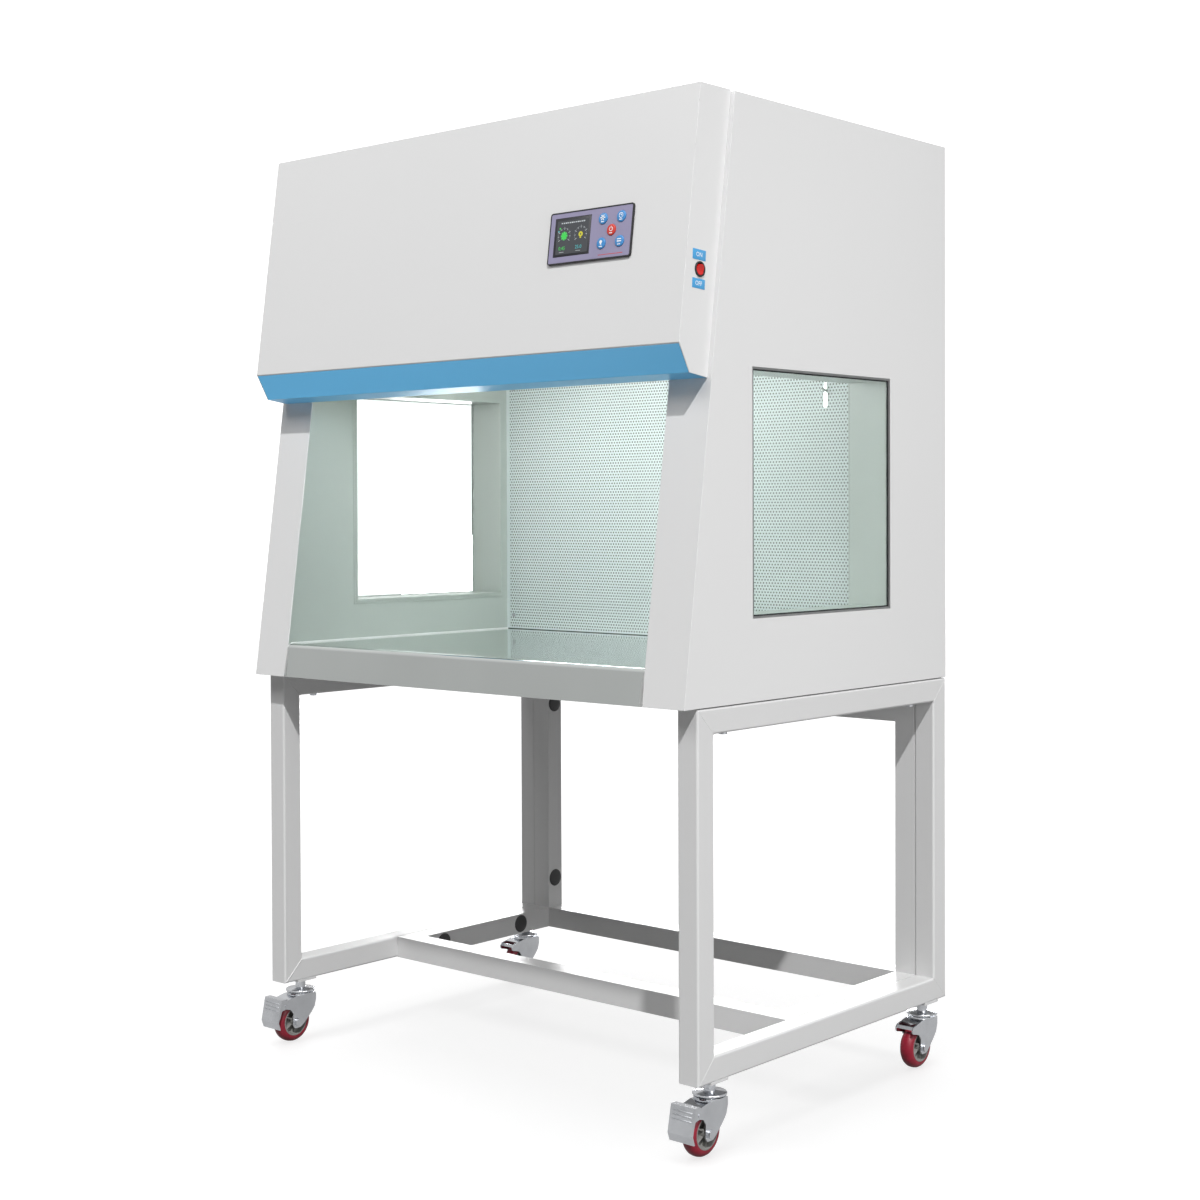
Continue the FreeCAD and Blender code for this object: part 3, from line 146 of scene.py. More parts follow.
def object_pattern(tree, kind, scale, stretch=(1, 1, 1), **inputs):
    """A pattern node in the object's own space; stretch squeezes it along an axis."""
    place = tree.nodes.new("ShaderNodeTexCoord")
    mapping = tree.nodes.new("ShaderNodeMapping")
    mapping.inputs["Scale"].default_value = stretch
    pattern = tree.nodes.new("ShaderNodeTex" + kind)
    if scale is not None:
        pattern.inputs["Scale"].default_value = scale
    for socket, number in inputs.items():
        pattern.inputs[socket].default_value = number
    tree.links.new(place.outputs["Object"], mapping.inputs["Vector"])
    tree.links.new(mapping.outputs["Vector"], pattern.inputs["Vector"])
    return pattern.outputs[0]


def map_range(tree, value, *limits):
    """A value carried from one range to another; the limits are from low, from high, to low, to high."""
    ranged = tree.nodes.new("ShaderNodeMapRange")
    for socket, number in zip(("From Min", "From Max", "To Min", "To Max"), limits):
        ranged.inputs[socket].default_value = number
    tree.links.new(value, ranged.inputs["Value"])
    return ranged.outputs["Result"]


def calculated(tree, operation, *values):
    """The result of a sum with sockets and plain numbers."""
    node = tree.nodes.new("ShaderNodeMath")
    node.operation = operation
    for socket, value in zip(node.inputs, values):
        if isinstance(value, float):
            socket.default_value = value
        else:
            tree.links.new(value, socket)
    return node.outputs["Value"]


def spread(tree, value, low, high, target):
    """Send a pattern's grey value to a socket, spread between two numbers."""
    tree.links.new(map_range(tree, value, 0.3, 0.7, low, high), target)


def tone(tree, value, dark, light, target, low=0.3, high=0.7):
    """Send a pattern to a colour socket, from a dark to a light colour."""
    ramp = tree.nodes.new("ShaderNodeValToRGB")
    ramp.color_ramp.elements[0].position = low
    ramp.color_ramp.elements[0].color = (*dark, 1)
    ramp.color_ramp.elements[1].position = high
    ramp.color_ramp.elements[1].color = (*light, 1)
    tree.links.new(value, ramp.inputs["Fac"])
    tree.links.new(ramp.outputs["Color"], target)


def relief(tree, base, value, strength, distance):
    """Bumps of the surface from a pattern."""
    bump = tree.nodes.new("ShaderNodeBump")
    bump.inputs["Strength"].default_value = strength
    bump.inputs["Distance"].default_value = distance
    tree.links.new(value, bump.inputs["Height"])
    tree.links.new(bump.outputs["Normal"], base.inputs["Normal"])


def shade(colour, share):
    return tuple(min(1.0, c * share) for c in colour)


def powder_coat(name, colour, roughness=0.38, peel=0.25):
    """Stove paint with a faint orange peel and slightly uneven gloss."""
    material, tree, base = shader(name, colour, roughness, Coat_Weight=0.15, Coat_Roughness=0.25)
    relief(tree, base, object_pattern(tree, "Noise", 420, Detail=2), peel, 0.00012)
    spread(tree, object_pattern(tree, "Noise", 5, Detail=1), roughness - 0.02, roughness + 0.03,
           base.inputs["Roughness"])
    tone(tree, object_pattern(tree, "Noise", 1.6, Detail=1), shade(colour, 0.985), colour, base.inputs["Base Color"])
    return material


def moulded(name, colour, roughness=0.45, grain=900, depth=0.3):
    """Injection-moulded plastic with a fine spark-eroded grain."""
    material, tree, base = shader(name, colour, roughness)
    relief(tree, base, object_pattern(tree, "Noise", grain, Detail=4, Roughness=0.6), depth, 0.0001)
    spread(tree, object_pattern(tree, "Noise", 30, Detail=3), roughness - 0.06, roughness + 0.08,
           base.inputs["Roughness"])
    tone(tree, object_pattern(tree, "Noise", 14, Detail=3), shade(colour, 0.93), colour, base.inputs["Base Color"])
    return material


def rolled_steel(name, colour, roughness, stretch=(1.5, 90, 90), lines=0.12, anisotropy=0.35):
    """Bright metal with rolling or brushing lines along one direction."""
    material, tree, base = shader(name, colour, roughness, 1.0, Anisotropic=anisotropy)
    value = object_pattern(tree, "Noise", 22, stretch, Detail=5, Roughness=0.65)
    relief(tree, base, value, lines, 0.00008)
    spread(tree, value, roughness - 0.035, roughness + 0.05, base.inputs["Roughness"])
    tone(tree, object_pattern(tree, "Noise", 5, Detail=2), shade(colour, 0.94), colour, base.inputs["Base Color"])
    return material


def plated(name, colour, roughness, spots=60):
    """Zinc or chrome plating, softly clouded."""
    material, tree, base = shader(name, colour, roughness, 1.0)
    value = object_pattern(tree, "Noise", spots, Detail=5, Roughness=0.6)
    relief(tree, base, value, 0.08, 0.0001)
    spread(tree, value, roughness - 0.05, roughness + 0.1, base.inputs["Roughness"])
    tone(tree, value, shade(colour, 0.86), colour, base.inputs["Base Color"])
    return material


def rubber(name, colour, roughness=0.62):
    material, tree, base = shader(name, colour, roughness)
    relief(tree, base, object_pattern(tree, "Noise", 500, Detail=5, Roughness=0.7), 0.35, 0.0002)
    spread(tree, object_pattern(tree, "Noise", 40, Detail=4), roughness - 0.1, roughness + 0.1,
           base.inputs["Roughness"])
    tone(tree, object_pattern(tree, "Noise", 60, Detail=5), shade(colour, 0.8), shade(colour, 1.15),
         base.inputs["Base Color"])
    return material


def clear_glass(name, colour, roughness=0.0):
    """Float glass, with a faint smear in its gloss."""
    material, tree, base = shader(name, colour, roughness, Transmission_Weight=1.0, IOR=1.5)
    spread(tree, object_pattern(tree, "Noise", 9, Detail=4), 0.0, 0.012, base.inputs["Roughness"])
    return material


def lit(name, colour, strength, roughness=0.4):
    """A surface that gives off a little light of its own."""
    material, tree, base = shader(name, colour, roughness, Emission_Color=(*colour, 1), Emission_Strength=strength)
    spread(tree, object_pattern(tree, "Noise", 80, Detail=2), roughness - 0.05, roughness + 0.05,
           base.inputs["Roughness"])
    return material


def fibrous(name, colour, scale, depth):
    """Glass-fibre paper or foam."""
    material, tree, base = shader(name, colour, 0.9)
    value = object_pattern(tree, "Noise", scale, (1, 1, 4), Detail=8, Roughness=0.75)
    relief(tree, base, value, depth, 0.0004)
    tone(tree, value, shade(colour, 0.8), colour, base.inputs["Base Color"])
    return material


def circuit_green(name):
    """Solder mask with faint copper runs under it."""
    material, tree, base = shader(name, rgb(24, 96, 58), 0.35)
    tone(tree, object_pattern(tree, "Brick", 120), rgb(20, 84, 50), rgb(38, 120, 74),
         base.inputs["Base Color"])
    relief(tree, base, object_pattern(tree, "Noise", 300, Detail=2), 0.2, 0.0001)
    return material


MATERIALS = {}


def make_materials():
    """Every finish of the cabinet, by the name of the record's slot or of the fine piece it is for."""
    c = colours()
    MATERIALS.update({
        "frame_paint": powder_coat("stand_paint", tuple(c.stand), 0.34),
        "body_paint": powder_coat("cabinet_paint", tuple(c.body), 0.36),
        "chamber_paint": powder_coat("chamber_paint", tuple(c.chamber), 0.3),
        "hood_blue": powder_coat("hood_blue_paint", tuple(c.hood), 0.34),
        "stainless": rolled_steel("polished_stainless", rgb(214, 218, 216), 0.07, lines=0.05),
        "zinc": plated("zinc_plate", rgb(196, 198, 202), 0.3),
        "chrome": plated("chrome_plate", rgb(222, 224, 228), 0.14, 20),
        "black_plastic": moulded("black_plastic", rgb(26, 26, 28), 0.42),
        "gray_plastic": moulded("gray_plastic", rgb(150, 152, 154), 0.45),
        "panel_plastic": moulded("panel_foil", tuple(c.panel), 0.36, 600, 0.12),
        "display_glass": moulded("display_glass", rgb(34, 34, 44), 0.35, 40, 0.01),
        "key_blue": moulded("key_blue", tuple(c.key_blue), 0.3, 500, 0.1),
        "key_red": moulded("key_red", tuple(c.key_red), 0.3, 500, 0.1),
        "switch_red": moulded("switch_red", rgb(214, 30, 26), 0.22, 300, 0.05),
        "board_green": circuit_green("circuit_board"),
        "seal_rubber": rubber("seal_rubber", rgb(40, 42, 44)),
        "tread_red": rubber("tread_polyurethane", tuple(c.tread), 0.4),
        "hub_gray": moulded("wheel_body", tuple(c.hub), 0.42),
        "window_glass": clear_glass("window_glass", rgb(238, 243, 241)),
        "lamp_glass": lit("lamp_tubes", rgb(244, 248, 248), 11.0),
        "filter_paper": fibrous("filter_paper", rgb(232, 232, 226), 260, 0.5),
        "filter_foam": fibrous("filter_foam", rgb(78, 82, 88), 320, 0.9),
        "aluminium": rolled_steel("aluminium", rgb(206, 208, 210), 0.34, (60, 1.5, 60), 0.2),
        "motor_black": powder_coat("motor_black", rgb(34, 36, 38), 0.5),
        "screen_paint": powder_coat("screen_paint", rgb(234, 243, 242), 0.3),
        "label_blue": moulded("label_blue", tuple(c.label), 0.4, 300, 0.08),
        "print_white": moulded("print_white", rgb(244, 246, 248), 0.5, 300, 0.05),
        "sealant": moulded("sealant_bead", rgb(240, 242, 240), 0.32, 200, 0.1),
        "glow_white": lit("display_white", rgb(196, 202, 206), 0.5),
        "glow_green": lit("display_green", rgb(72, 196, 90), 0.6),
        "glow_cyan": lit("display_cyan", rgb(84, 186, 190), 0.5),
        "glow_yellow": lit("display_yellow", rgb(206, 200, 60), 0.5),
        "glow_dim": lit("display_gray", rgb(138, 142, 146), 0.3),
        "glow_back": lit("display_back", rgb(72, 75, 80), 0.25, 0.5),
        # Dark of the screen: painted shade behind its holes, and the dark joint along the worktop.
        "screen_shade_and_joint": moulded("screen_shade_and_joint", rgb(74, 88, 82), 0.6),
        # Window rim: its slope catches more light, and its paint is also a lighter copy of the cabinet paint, which is
        # painted light.
        "rim_white_painted_light": powder_coat("window_rim", rgb(240, 242, 242), 0.34),
        "reveal_gray": rubber("window_seal_inside", rgb(196, 204, 200)),
    })


SLOTS = {row["node"]: row["material_slot"] for row in frame["record"]["subparts"]}
CHAMBER_NODES = ("left_liner", "right_liner", "chamber_ceiling")


def finish_for(node):
    """The record's slot and the material for a node."""
    slot = SLOTS[node]
    return slot, MATERIALS["chamber_paint" if node in CHAMBER_NODES else slot]


# Mesh tools


def body_of_node(node):
    return frame["nodes"][node]["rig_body"]


def add_piece(name, mesh, body, materials, nodes=()):
    """A finished piece: its mesh in place, its finish, the body that carries it and the nodes it stands for."""
    piece = bpy.data.objects.new(name, mesh)
    bpy.context.scene.collection.objects.link(piece)
    for material in materials:
        mesh.materials.append(material)
    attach(piece, body)
    if nodes:
        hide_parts(*nodes)
    return piece


def to_mesh(name, bm, smooth=35, tidy=True):
    """A mesh of the bmesh, its doubles merged and its faces turned outwards."""
    if tidy:
        bmesh.ops.remove_doubles(bm, verts=bm.verts, dist=1e-6)
        bmesh.ops.recalc_face_normals(bm, faces=bm.faces)
    mesh = bpy.data.meshes.new(name)
    bm.to_mesh(mesh)
    bm.free()
    mesh.shade_smooth()
    mesh.set_sharp_from_angle(angle=math.radians(smooth))
    return mesh


def bevel(bm, edges, width, segments=2):
    bmesh.ops.bevel(bm, geom=edges, offset=width, offset_type="OFFSET", segments=segments, profile=0.5,
                    affect="EDGES", clamp_overlap=True, material=-1)


def sharp_edges(bm, degrees=30):
    return [e for e in bm.edges if len(e.link_faces) == 2 and e.calc_face_angle(0) > math.radians(degrees)]


def add_block(bm, low, high, width=0.0):
    """A box between two corners in millimetres, its edges rounded."""
    size = [(b - a) * MM for a, b in zip(low, high)]
    centre = Vector([(a + b) / 2 * MM for a, b in zip(low, high)])
    made = bmesh.new()
    bmesh.ops.create_cube(made, size=1)
    bmesh.ops.scale(made, vec=size, verts=made.verts)
    if width:
        bevel(made, made.edges[:], width * MM)
    bmesh.ops.translate(made, vec=centre, verts=made.verts)
    join(bm, made)


def join(bm, other, matrix=None):
    """Add another bmesh, placed by a matrix."""
    if matrix is not None:
        bmesh.ops.transform(other, matrix=matrix, verts=other.verts)
    spare = bpy.data.meshes.new("spare")
    other.to_mesh(spare)
    other.free()
    bm.from_mesh(spare)
    bpy.data.meshes.remove(spare)


AXES = {"X": Matrix.Rotation(math.pi / 2, 4, "Y"), "Y": Matrix.Rotation(-math.pi / 2, 4, "X"), "Z": Matrix.Identity(4)}


def add_turned(bm, points, centre, axis, steps=48, matrix=None):
    """A profile of (along, radius) in millimetres, turned about an axis through the centre."""
    made = bmesh.new()
    row = [made.verts.new((radius * MM, 0, along * MM)) for along, radius in points]
    edges = [made.edges.new(pair) for pair in zip(row, row[1:])]
    bmesh.ops.spin(made, geom=row + edges, cent=(0, 0, 0), axis=(0, 0, 1), angle=2 * math.pi, steps=steps,
                   use_merge=True, use_duplicate=False)
    bmesh.ops.remove_doubles(made, verts=made.verts, dist=1e-6)
    bmesh.ops.recalc_face_normals(made, faces=made.faces)
    place = Matrix.Translation(Vector(centre) * MM) @ AXES[axis]
    join(bm, made, matrix @ place if matrix is not None else place)


def thicken(bm, faces, depth):
    """Carry faces along Y by a depth in millimetres."""
    grown = bmesh.ops.extrude_face_region(bm, geom=faces)
    moved = [item for item in grown["geom"] if isinstance(item, bmesh.types.BMVert)]
    bmesh.ops.translate(bm, vec=(0, depth * MM, 0), verts=moved)


def add_plate(bm, outline, start, depth, matrix, index=0, round_by=0.0):
    """A flat plate with an outline in X and Z millimetres, carried along Y from start by depth."""
    made = bmesh.new()
    face = made.faces.new([made.verts.new((x * MM, start * MM, z * MM)) for x, z in outline])
    thicken(made, [face], depth)
    bmesh.ops.recalc_face_normals(made, faces=made.faces)
    if round_by:
        bevel(made, sharp_edges(made), round_by * MM)
    for each in made.faces:
        each.material_index = index
    join(bm, made, matrix)


def rounded(low_x, low_z, high_x, high_z, radius, steps=5):
    """Outline of a rectangle with rounded corners."""
    outline = []
    for k, (x, z) in enumerate(((high_x - radius, high_z - radius), (low_x + radius, high_z - radius),
                                (low_x + radius, low_z + radius), (high_x - radius, low_z + radius))):
        for step in range(steps + 1):
            angle = math.pi / 2 * (k + step / steps)
            outline.append((x + radius * math.cos(angle), z + radius * math.sin(angle)))
    return outline


def arc_band(x, z, inner, outer, start, end, steps=16):
    """Outline of part of a ring, angles in degrees from +X."""
    def at(radius, share):
        angle = math.radians(start + (end - start) * share)
        return (x + radius * math.cos(angle), z + radius * math.sin(angle))
    return ([at(outer, k / steps) for k in range(steps + 1)] + [at(inner, 1 - k / steps) for k in range(steps + 1)])


def strip(x0, z0, x1, z1, width):
    """Outline of a bar between two points."""
    run = Vector((x1 - x0, z1 - z0)).normalized() * width / 2
    return [(x0 - run.y, z0 + run.x), (x0 + run.y, z0 - run.x), (x1 + run.y, z1 - run.x), (x1 - run.y, z1 + run.x)]


def taken_from(curve):
    """A bmesh of a curve, which is then removed."""
    holder = bpy.data.objects.new(curve.name, curve)
    mesh = bpy.data.meshes.new_from_object(holder)
    made = bmesh.new()
    made.from_mesh(mesh)
    bpy.data.objects.remove(holder)
    bpy.data.curves.remove(curve)
    bpy.data.meshes.remove(mesh)
    return made


def lettering(bm, text, size, x, z, start, depth, matrix, index):
    """Plain lettering as a mesh, centred on a point of a plate, its front towards -Y."""
    curve = bpy.data.curves.new("lettering", "FONT")
    curve.body = text
    curve.size = size * MM
    curve.align_x = curve.align_y = "CENTER"
    curve.extrude = abs(depth) * MM / 2
    curve.resolution_u = 3
    made = taken_from(curve)
    for face in made.faces:
        face.material_index = index
    place = Matrix.Translation((x * MM, (start + depth / 2) * MM, z * MM))
    join(bm, made, matrix @ place @ Matrix.Rotation(math.pi / 2, 4, "X"))


def run_of_tube(bm, points, radius, steps=10):
    """A round bead that follows points in metres, its ends closed."""
    curve = bpy.data.curves.new("bead", "CURVE")
    curve.dimensions = "3D"
    curve.bevel_depth = radius
    curve.bevel_resolution = steps // 4
    curve.use_fill_caps = True
    spline = curve.splines.new("POLY")
    spline.points.add(len(points) - 1)
    for point, place in zip(spline.points, points):
        point.co = (*place, 1)
    join(bm, taken_from(curve))


def merged_copy(node):
    """A copy of a node's mesh with its triangles joined into whole faces."""
    bm = bmesh.new()
    bm.from_mesh(frame["nodes"][node].data)
    bmesh.ops.remove_doubles(bm, verts=bm.verts, dist=2e-6)
    bmesh.ops.dissolve_limit(bm, angle_limit=math.radians(0.6), verts=bm.verts, edges=bm.edges)
    return bm


def edged(node, width=None, segments=2):
    """The same piece as its node, with the small round that a fold, a saw cut or a mould leaves on its edges."""
    bm = merged_copy(node)
    bevel(bm, sharp_edges(bm), details().edge if width is None else width * MM, segments)
    mesh = to_mesh(node + "_edged", bm, 40, tidy=False)
    slot, material = finish_for(node)
    piece = add_piece(node + "_edged", mesh, body_of_node(node), [material], [node])
    weighted = piece.modifiers.new("even_shading", "WEIGHTED_NORMAL")
    weighted.keep_sharp = True
    return piece


# Stand


def weld_points(x):
    """The mitre of each corner of a side frame, seen from the side."""
    for y, inward_y in ((FRONT, 1), (REAR, -1)):
        for z, inward_z in ((FRAME_LOW, 1), (FRAME_TOP, -1)):
            yield [(x, y + inward_y * 0.003, z + inward_z * 0.003), (x, y + inward_y * TUBE, z + inward_z * TUBE)]


def stand_pieces():
    for node in ("left_side_frame", "right_side_frame", "connecting_frame"):
        edged(node, 0.9)
    weld = details().weld
    bm = bmesh.new()
    for side in (-1, 1):
        for x in (side * (FRAME_OUTSIDE - weld * 0.6), side * FRAME_INSIDE):
            for points in weld_points(x):
                run_of_tube(bm, points, weld)
    mesh = to_mesh("mitre_welds", bm)
    add_piece("mitre_welds", mesh, "cabinet", [MATERIALS["frame_paint"]])


PLUG_PLACES = [(351, 580.5), (351, 214), (246, 134), (27, 134)]


def plug_pieces():
    bm = bmesh.new()
    cap = [(-4, 0), (-4, 15.9), (0, 15.9), (0, 17.5), (0.5, 17.5), (1.1, 16.9), (1.7, 14.8), (2.2, 11), (2.45, 6),
           (2.5, 0)]
    for side in (-1, 1):
        for y, z in PLUG_PLACES:
            points = [(along * -side, radius) for along, radius in cap]
            add_turned(bm, points, (side * 425, y, z), "X")
    add_piece("plug_caps", to_mesh("plug_caps", bm), "cabinet", [MATERIALS["black_plastic"]],
              ["hole_plugs"])


# Casters


CORNERS = {"front_left": (-485, -287), "front_right": (485, -287), "rear_left": (-485, 323), "rear_right": (485, 323)}
TRAIL, WHEEL = 22, 37.5


def stem_pieces():
    bm = bmesh.new()
    profile = [(81.5, 0), (81.5, 8.6), (82, 9), (84.45, 9), (84.45, 5), (88.55, 5), (88.55, 15), (90.5, 15),
               (90.5, 25.6), (91.2, 27), (93.2, 27), (94, 26.4), (95.6, 17), (96.6, 11.5), (97, 9.2),
               (110.9, 9.2), (110.9, 6), (134, 6), (134, 0)]
    for x, y in CORNERS.values():
        add_turned(bm, profile, (x, y, 0), "Z", 64)
    add_piece("caster_stems_plated", to_mesh("caster_stems_plated", bm, 40), "cabinet",
              [MATERIALS["chrome"]], ["caster_stems"])


def wheel_pieces(tag, x, y):
    tyre = [(-12.5, 26), (-12.5, 28.6), (-12.1, 30.2), (-11, 32.4), (-8.8, 34.9), (-5.6, 36.8), (-2, 37.45), (0, 37.5),
            (2, 37.45), (5.6, 36.8), (8.8, 34.9), (11, 32.4), (12.1, 30.2), (12.5, 28.6), (12.5, 26), (-12.5, 26)]
    centre = (x, y - TRAIL, WHEEL)
    bm = bmesh.new()
    add_turned(bm, tyre, centre, "X", 72)
    node = tag + "_caster_tyre"
    add_piece(node + "_domed", to_mesh(node + "_domed", bm, 50), body_of_node(node),
              [MATERIALS["tread_red"]], [node])
    half = [(15.2, 4.05), (15.2, 7.6), (14.8, 8), (4.6, 8.6), (3.5, 9.8), (3.5, 19.6), (4.4, 21), (11.6, 23.2),
            (12.3, 23.6), (12.5, 24.2), (12.5, 25.7), (12.3, 25.95)]
    hub = half + [(-a, r) for a, r in half[::-1]] + [half[0]]
    bm = bmesh.new()
    add_turned(bm, hub, centre, "X", 72)
    for k in range(6):
        for side in (-1, 1):
            made = bmesh.new()
            add_block(made, (3.4, -1.1, 8), (10.2, 1.1, 22.4), 0.5)
            turn = Matrix.Rotation(math.radians(60 * k), 4, "X")
            flip = Matrix.Rotation(math.pi if side < 0 else 0, 4, "Z")
            join(bm, made, Matrix.Translation(Vector(centre) * MM) @ flip @ turn)
    node = tag + "_caster_hub"
    add_piece(node + "_ribbed", to_mesh(node + "_ribbed", bm, 40), body_of_node(node),
              [MATERIALS["hub_gray"]], [node])


def pedal_ribs(tag, x, y):
    """Ribs pressed across the top slope of a brake pedal."""
    bm = bmesh.new()
    top, foot = Vector((-64.6, 83)), Vector((-72, 46))
    for k in range(details().rib_count):
        at = top.lerp(foot, 0.12 + 0.17 * k)
        add_turned(bm, [(-19, 0), (-18.6, 1), (-18, 1.35), (18, 1.35), (18.6, 1), (19, 0)],
                   (x, y + at.x, at.y), "X", 12)
    add_piece(tag + "_pedal_ribs", to_mesh(tag + "_pedal_ribs", bm, 60), body_of_node(tag + "_brake_pedal"),
              [MATERIALS["zinc"]])


def caster_pieces():
    stem_pieces()
    for tag, (x, y) in CORNERS.items():
        wheel_pieces(tag, x, y)
        edged(tag + "_caster_fork", 0.5)
        if tag.startswith("front"):
            edged(tag + "_brake_pedal", 0.5)
            pedal_ribs(tag, x, y)


# Cabinet


def shell_pieces():
    for node in ("left_side_panel", "right_side_panel", "base_pan", "rear_panel", "top_panel", "chamber_ceiling"):
        edged(node)
    edged("worktop", 0.5)


WINDOW_LOW, WINDOW_HIGH = (-200, 815), (191, 1206.5)


def add_window_frame(bm, side, section, finishes):
    """A frame round a window: a cross-section of (way in from the hole's edge, way out from the middle of the
    cabinet), in millimetres, carried round the hole."""
    made = bmesh.new()
    rings = []
    for inset, out in section:
        low = (WINDOW_LOW[0] + inset, WINDOW_LOW[1] + inset)
        high = (WINDOW_HIGH[0] - inset, WINDOW_HIGH[1] - inset)
        row = [made.verts.new((-out * MM, y * MM, z * MM))
               for y, z in (low, (high[0], low[1]), high, (low[0], high[1]))]
        rings.append([made.edges.new((row[k], row[(k + 1) % 4])) for k in range(4)])
    for k, finish in enumerate(finishes):
        band = bmesh.ops.bridge_loops(made, edges=rings[k] + rings[(k + 1) % len(rings)])
        for face in band["faces"]:
            face.material_index = finish
    bmesh.ops.scale(made, vec=(-side, 1, 1), verts=made.verts)
    bmesh.ops.recalc_face_normals(made, faces=made.faces)
    join(bm, made)


SEAL_SECTION = [(0.02, 504.95), (3.4, 503.6), (5.5, 502.7), (5.5, 502.55), (2.4, 502.55), (2.4, 498.45),
                (5.5, 498.45), (5.5, 497.6), (4.4, 496.6), (0.02, 496.6)]
SEAL_FINISHES = (0, 1, 1, 1, 1, 1, 2, 2, 2, 2)
LIP_SECTION = [(-5, 421.9), (-5, 421.1), (-4.6, 420.9), (0, 420.9), (0, 420.2), (0.4, 419.8), (3.6, 419.8), (4, 420.2),
               (4, 421.9)]


def window_pieces():
    """The sloped seal round each pane and the stepped lip on the side of the work space; the seal's outer rim carries
    a lighter copy of the cabinet paint, painted light on the reveal.
    """
    for side, tag in ((-1, "left"), (1, "right")):
        edged(tag + "_liner")
        seal = bmesh.new()
        add_window_frame(seal, side, SEAL_SECTION, SEAL_FINISHES)
        node = tag + "_window_gasket"
        add_piece(node + "_sloped", to_mesh(node + "_sloped", seal, 15, tidy=False), "cabinet",
                  [MATERIALS[name] for name in ("rim_white_painted_light", "seal_rubber", "reveal_gray")], [node])
        lip = bmesh.new()
        add_window_frame(lip, side, LIP_SECTION, (0,) * len(LIP_SECTION))
        add_piece(tag + "_window_lip", to_mesh(tag + "_window_lip", lip, tidy=False), "cabinet",
                  [MATERIALS["chamber_paint"]])


def add_sheet(bm, low, high, ahead, behind):
    """A flat block between two corners in X and Z, from ahead of the screen's face to behind it, in metres."""
    add_block(bm, (low[0] / MM, (SCREEN_Y - ahead) / MM, low[1] / MM),
              (high[0] / MM, (SCREEN_Y + behind) / MM, high[1] / MM))


def perforated_screen():
    """The perforated sheet: one tile with a round hole, repeated in staggered rows, and a plain margin; a dark block
    behind the holes is painted shade, and a dark strip along the worktop is the joint.
    """
    d = details()
    pitch, row, radius = d.hole_pitch, d.hole_row, d.hole_size / 2
    margin_x, margin_z = 0.003, 0.0032
    low_x, high_x = -INNER_X + margin_x, INNER_X - margin_x
    low_z, high_z = WORKTOP_Z + margin_z, SCREEN_TOP - margin_z
    across = int((high_x - low_x) / pitch)
    pairs = int((high_z - low_z) / row / 2)
    low_x = -across * pitch / 2
    bm = bmesh.new()
    for level in range(2):
        shift = pitch / 2 * level - pitch / 4
        left, low = low_x + shift, low_z + level * row
        centre = (left + pitch / 2, low + row / 2)
        rim = [(centre[0] + radius * math.cos(math.pi / 4 * k), centre[1] + radius * math.sin(math.pi / 4 * k))
               for k in range(8)]
        frame_points = [(left + pitch, centre[1]), (left + pitch, low + row), (centre[0], low + row),
                        (left, low + row), (left, centre[1]), (left, low), (centre[0], low), (left + pitch, low)]
        inside = [bm.verts.new((x, SCREEN_Y, z)) for x, z in rim]
        outside = [bm.verts.new((x, SCREEN_Y, z)) for x, z in frame_points]
        for k in range(8):
            bm.faces.new((inside[k], outside[k], outside[(k + 1) % 8], inside[(k + 1) % 8]))
    bmesh.ops.remove_doubles(bm, verts=bm.verts, dist=1e-7)
    mesh = bpy.data.meshes.new("perforated_screen")
    bm.to_mesh(mesh)
    bm.free()
    piece = add_piece("perforated_screen", mesh, "cabinet", [MATERIALS["screen_paint"]], ["diffuser"])
    for name, count, step in (("across", across, (pitch, 0, 0)), ("upwards", pairs, (0, 0, 2 * row))):
        array = piece.modifiers.new(name, "ARRAY")
        array.count = count
        array.use_relative_offset = False
        array.use_constant_offset = True
        array.constant_offset_displace = step
    top = low_z + pairs * 2 * row
    margin = bmesh.new()
    edge = pitch / 4
    for low, high in (((-INNER_X, WORKTOP_Z), (low_x + edge, SCREEN_TOP)),
                      ((-low_x - edge, WORKTOP_Z), (INNER_X, SCREEN_TOP)),
                      ((low_x - edge, WORKTOP_Z), (edge - low_x, low_z)),
                      ((low_x - edge, top), (edge - low_x, SCREEN_TOP))):
        add_sheet(margin, low, high, 0.00002, 0.0015)
    # The dark block behind the holes is painted shade for the shaded filter behind the sheet; the thin strip along the
    # worktop is the dark joint.
    shadow = bmesh.new()
    add_sheet(shadow, (low_x + edge, low_z), (-low_x - edge, top), -0.0009, 0.0014)
    add_sheet(shadow, (-INNER_X, WORKTOP_Z), (INNER_X, WORKTOP_Z + 0.0013), 0.0005, 0)
    for face in shadow.faces:
        face.material_index = 1
    join(margin, shadow)
    add_piece("screen_margin", to_mesh("screen_margin", margin, tidy=False), "cabinet",
              [MATERIALS["screen_paint"], MATERIALS["screen_shade_and_joint"]])


def nose_path(x):
    """The worktop's surface from the screen forwards, over its nose and down its apron."""
    slope_y = CAB_FRONT + math.tan(LEAN) * (WORKTOP_Z - CAB_LOW)
    points = [(x, SCREEN_Y - 0.001, WORKTOP_Z), (x, 0.05, WORKTOP_Z), (x, -0.2, WORKTOP_Z)]
    radius, steps = 0.009, 8
    back = radius * math.tan((math.pi / 2 + LEAN) / 2)
    centre = Vector((slope_y + back, WORKTOP_Z - radius))
    for k in range(steps + 1):
        angle = math.pi / 2 + (math.pi / 2 - LEAN) * k / steps
        points.append((x, centre.x + radius * math.cos(angle), centre.y + radius * math.sin(angle)))
    points.append((x, CAB_FRONT + math.tan(LEAN) * 0.002, CAB_LOW + 0.002))
    return points


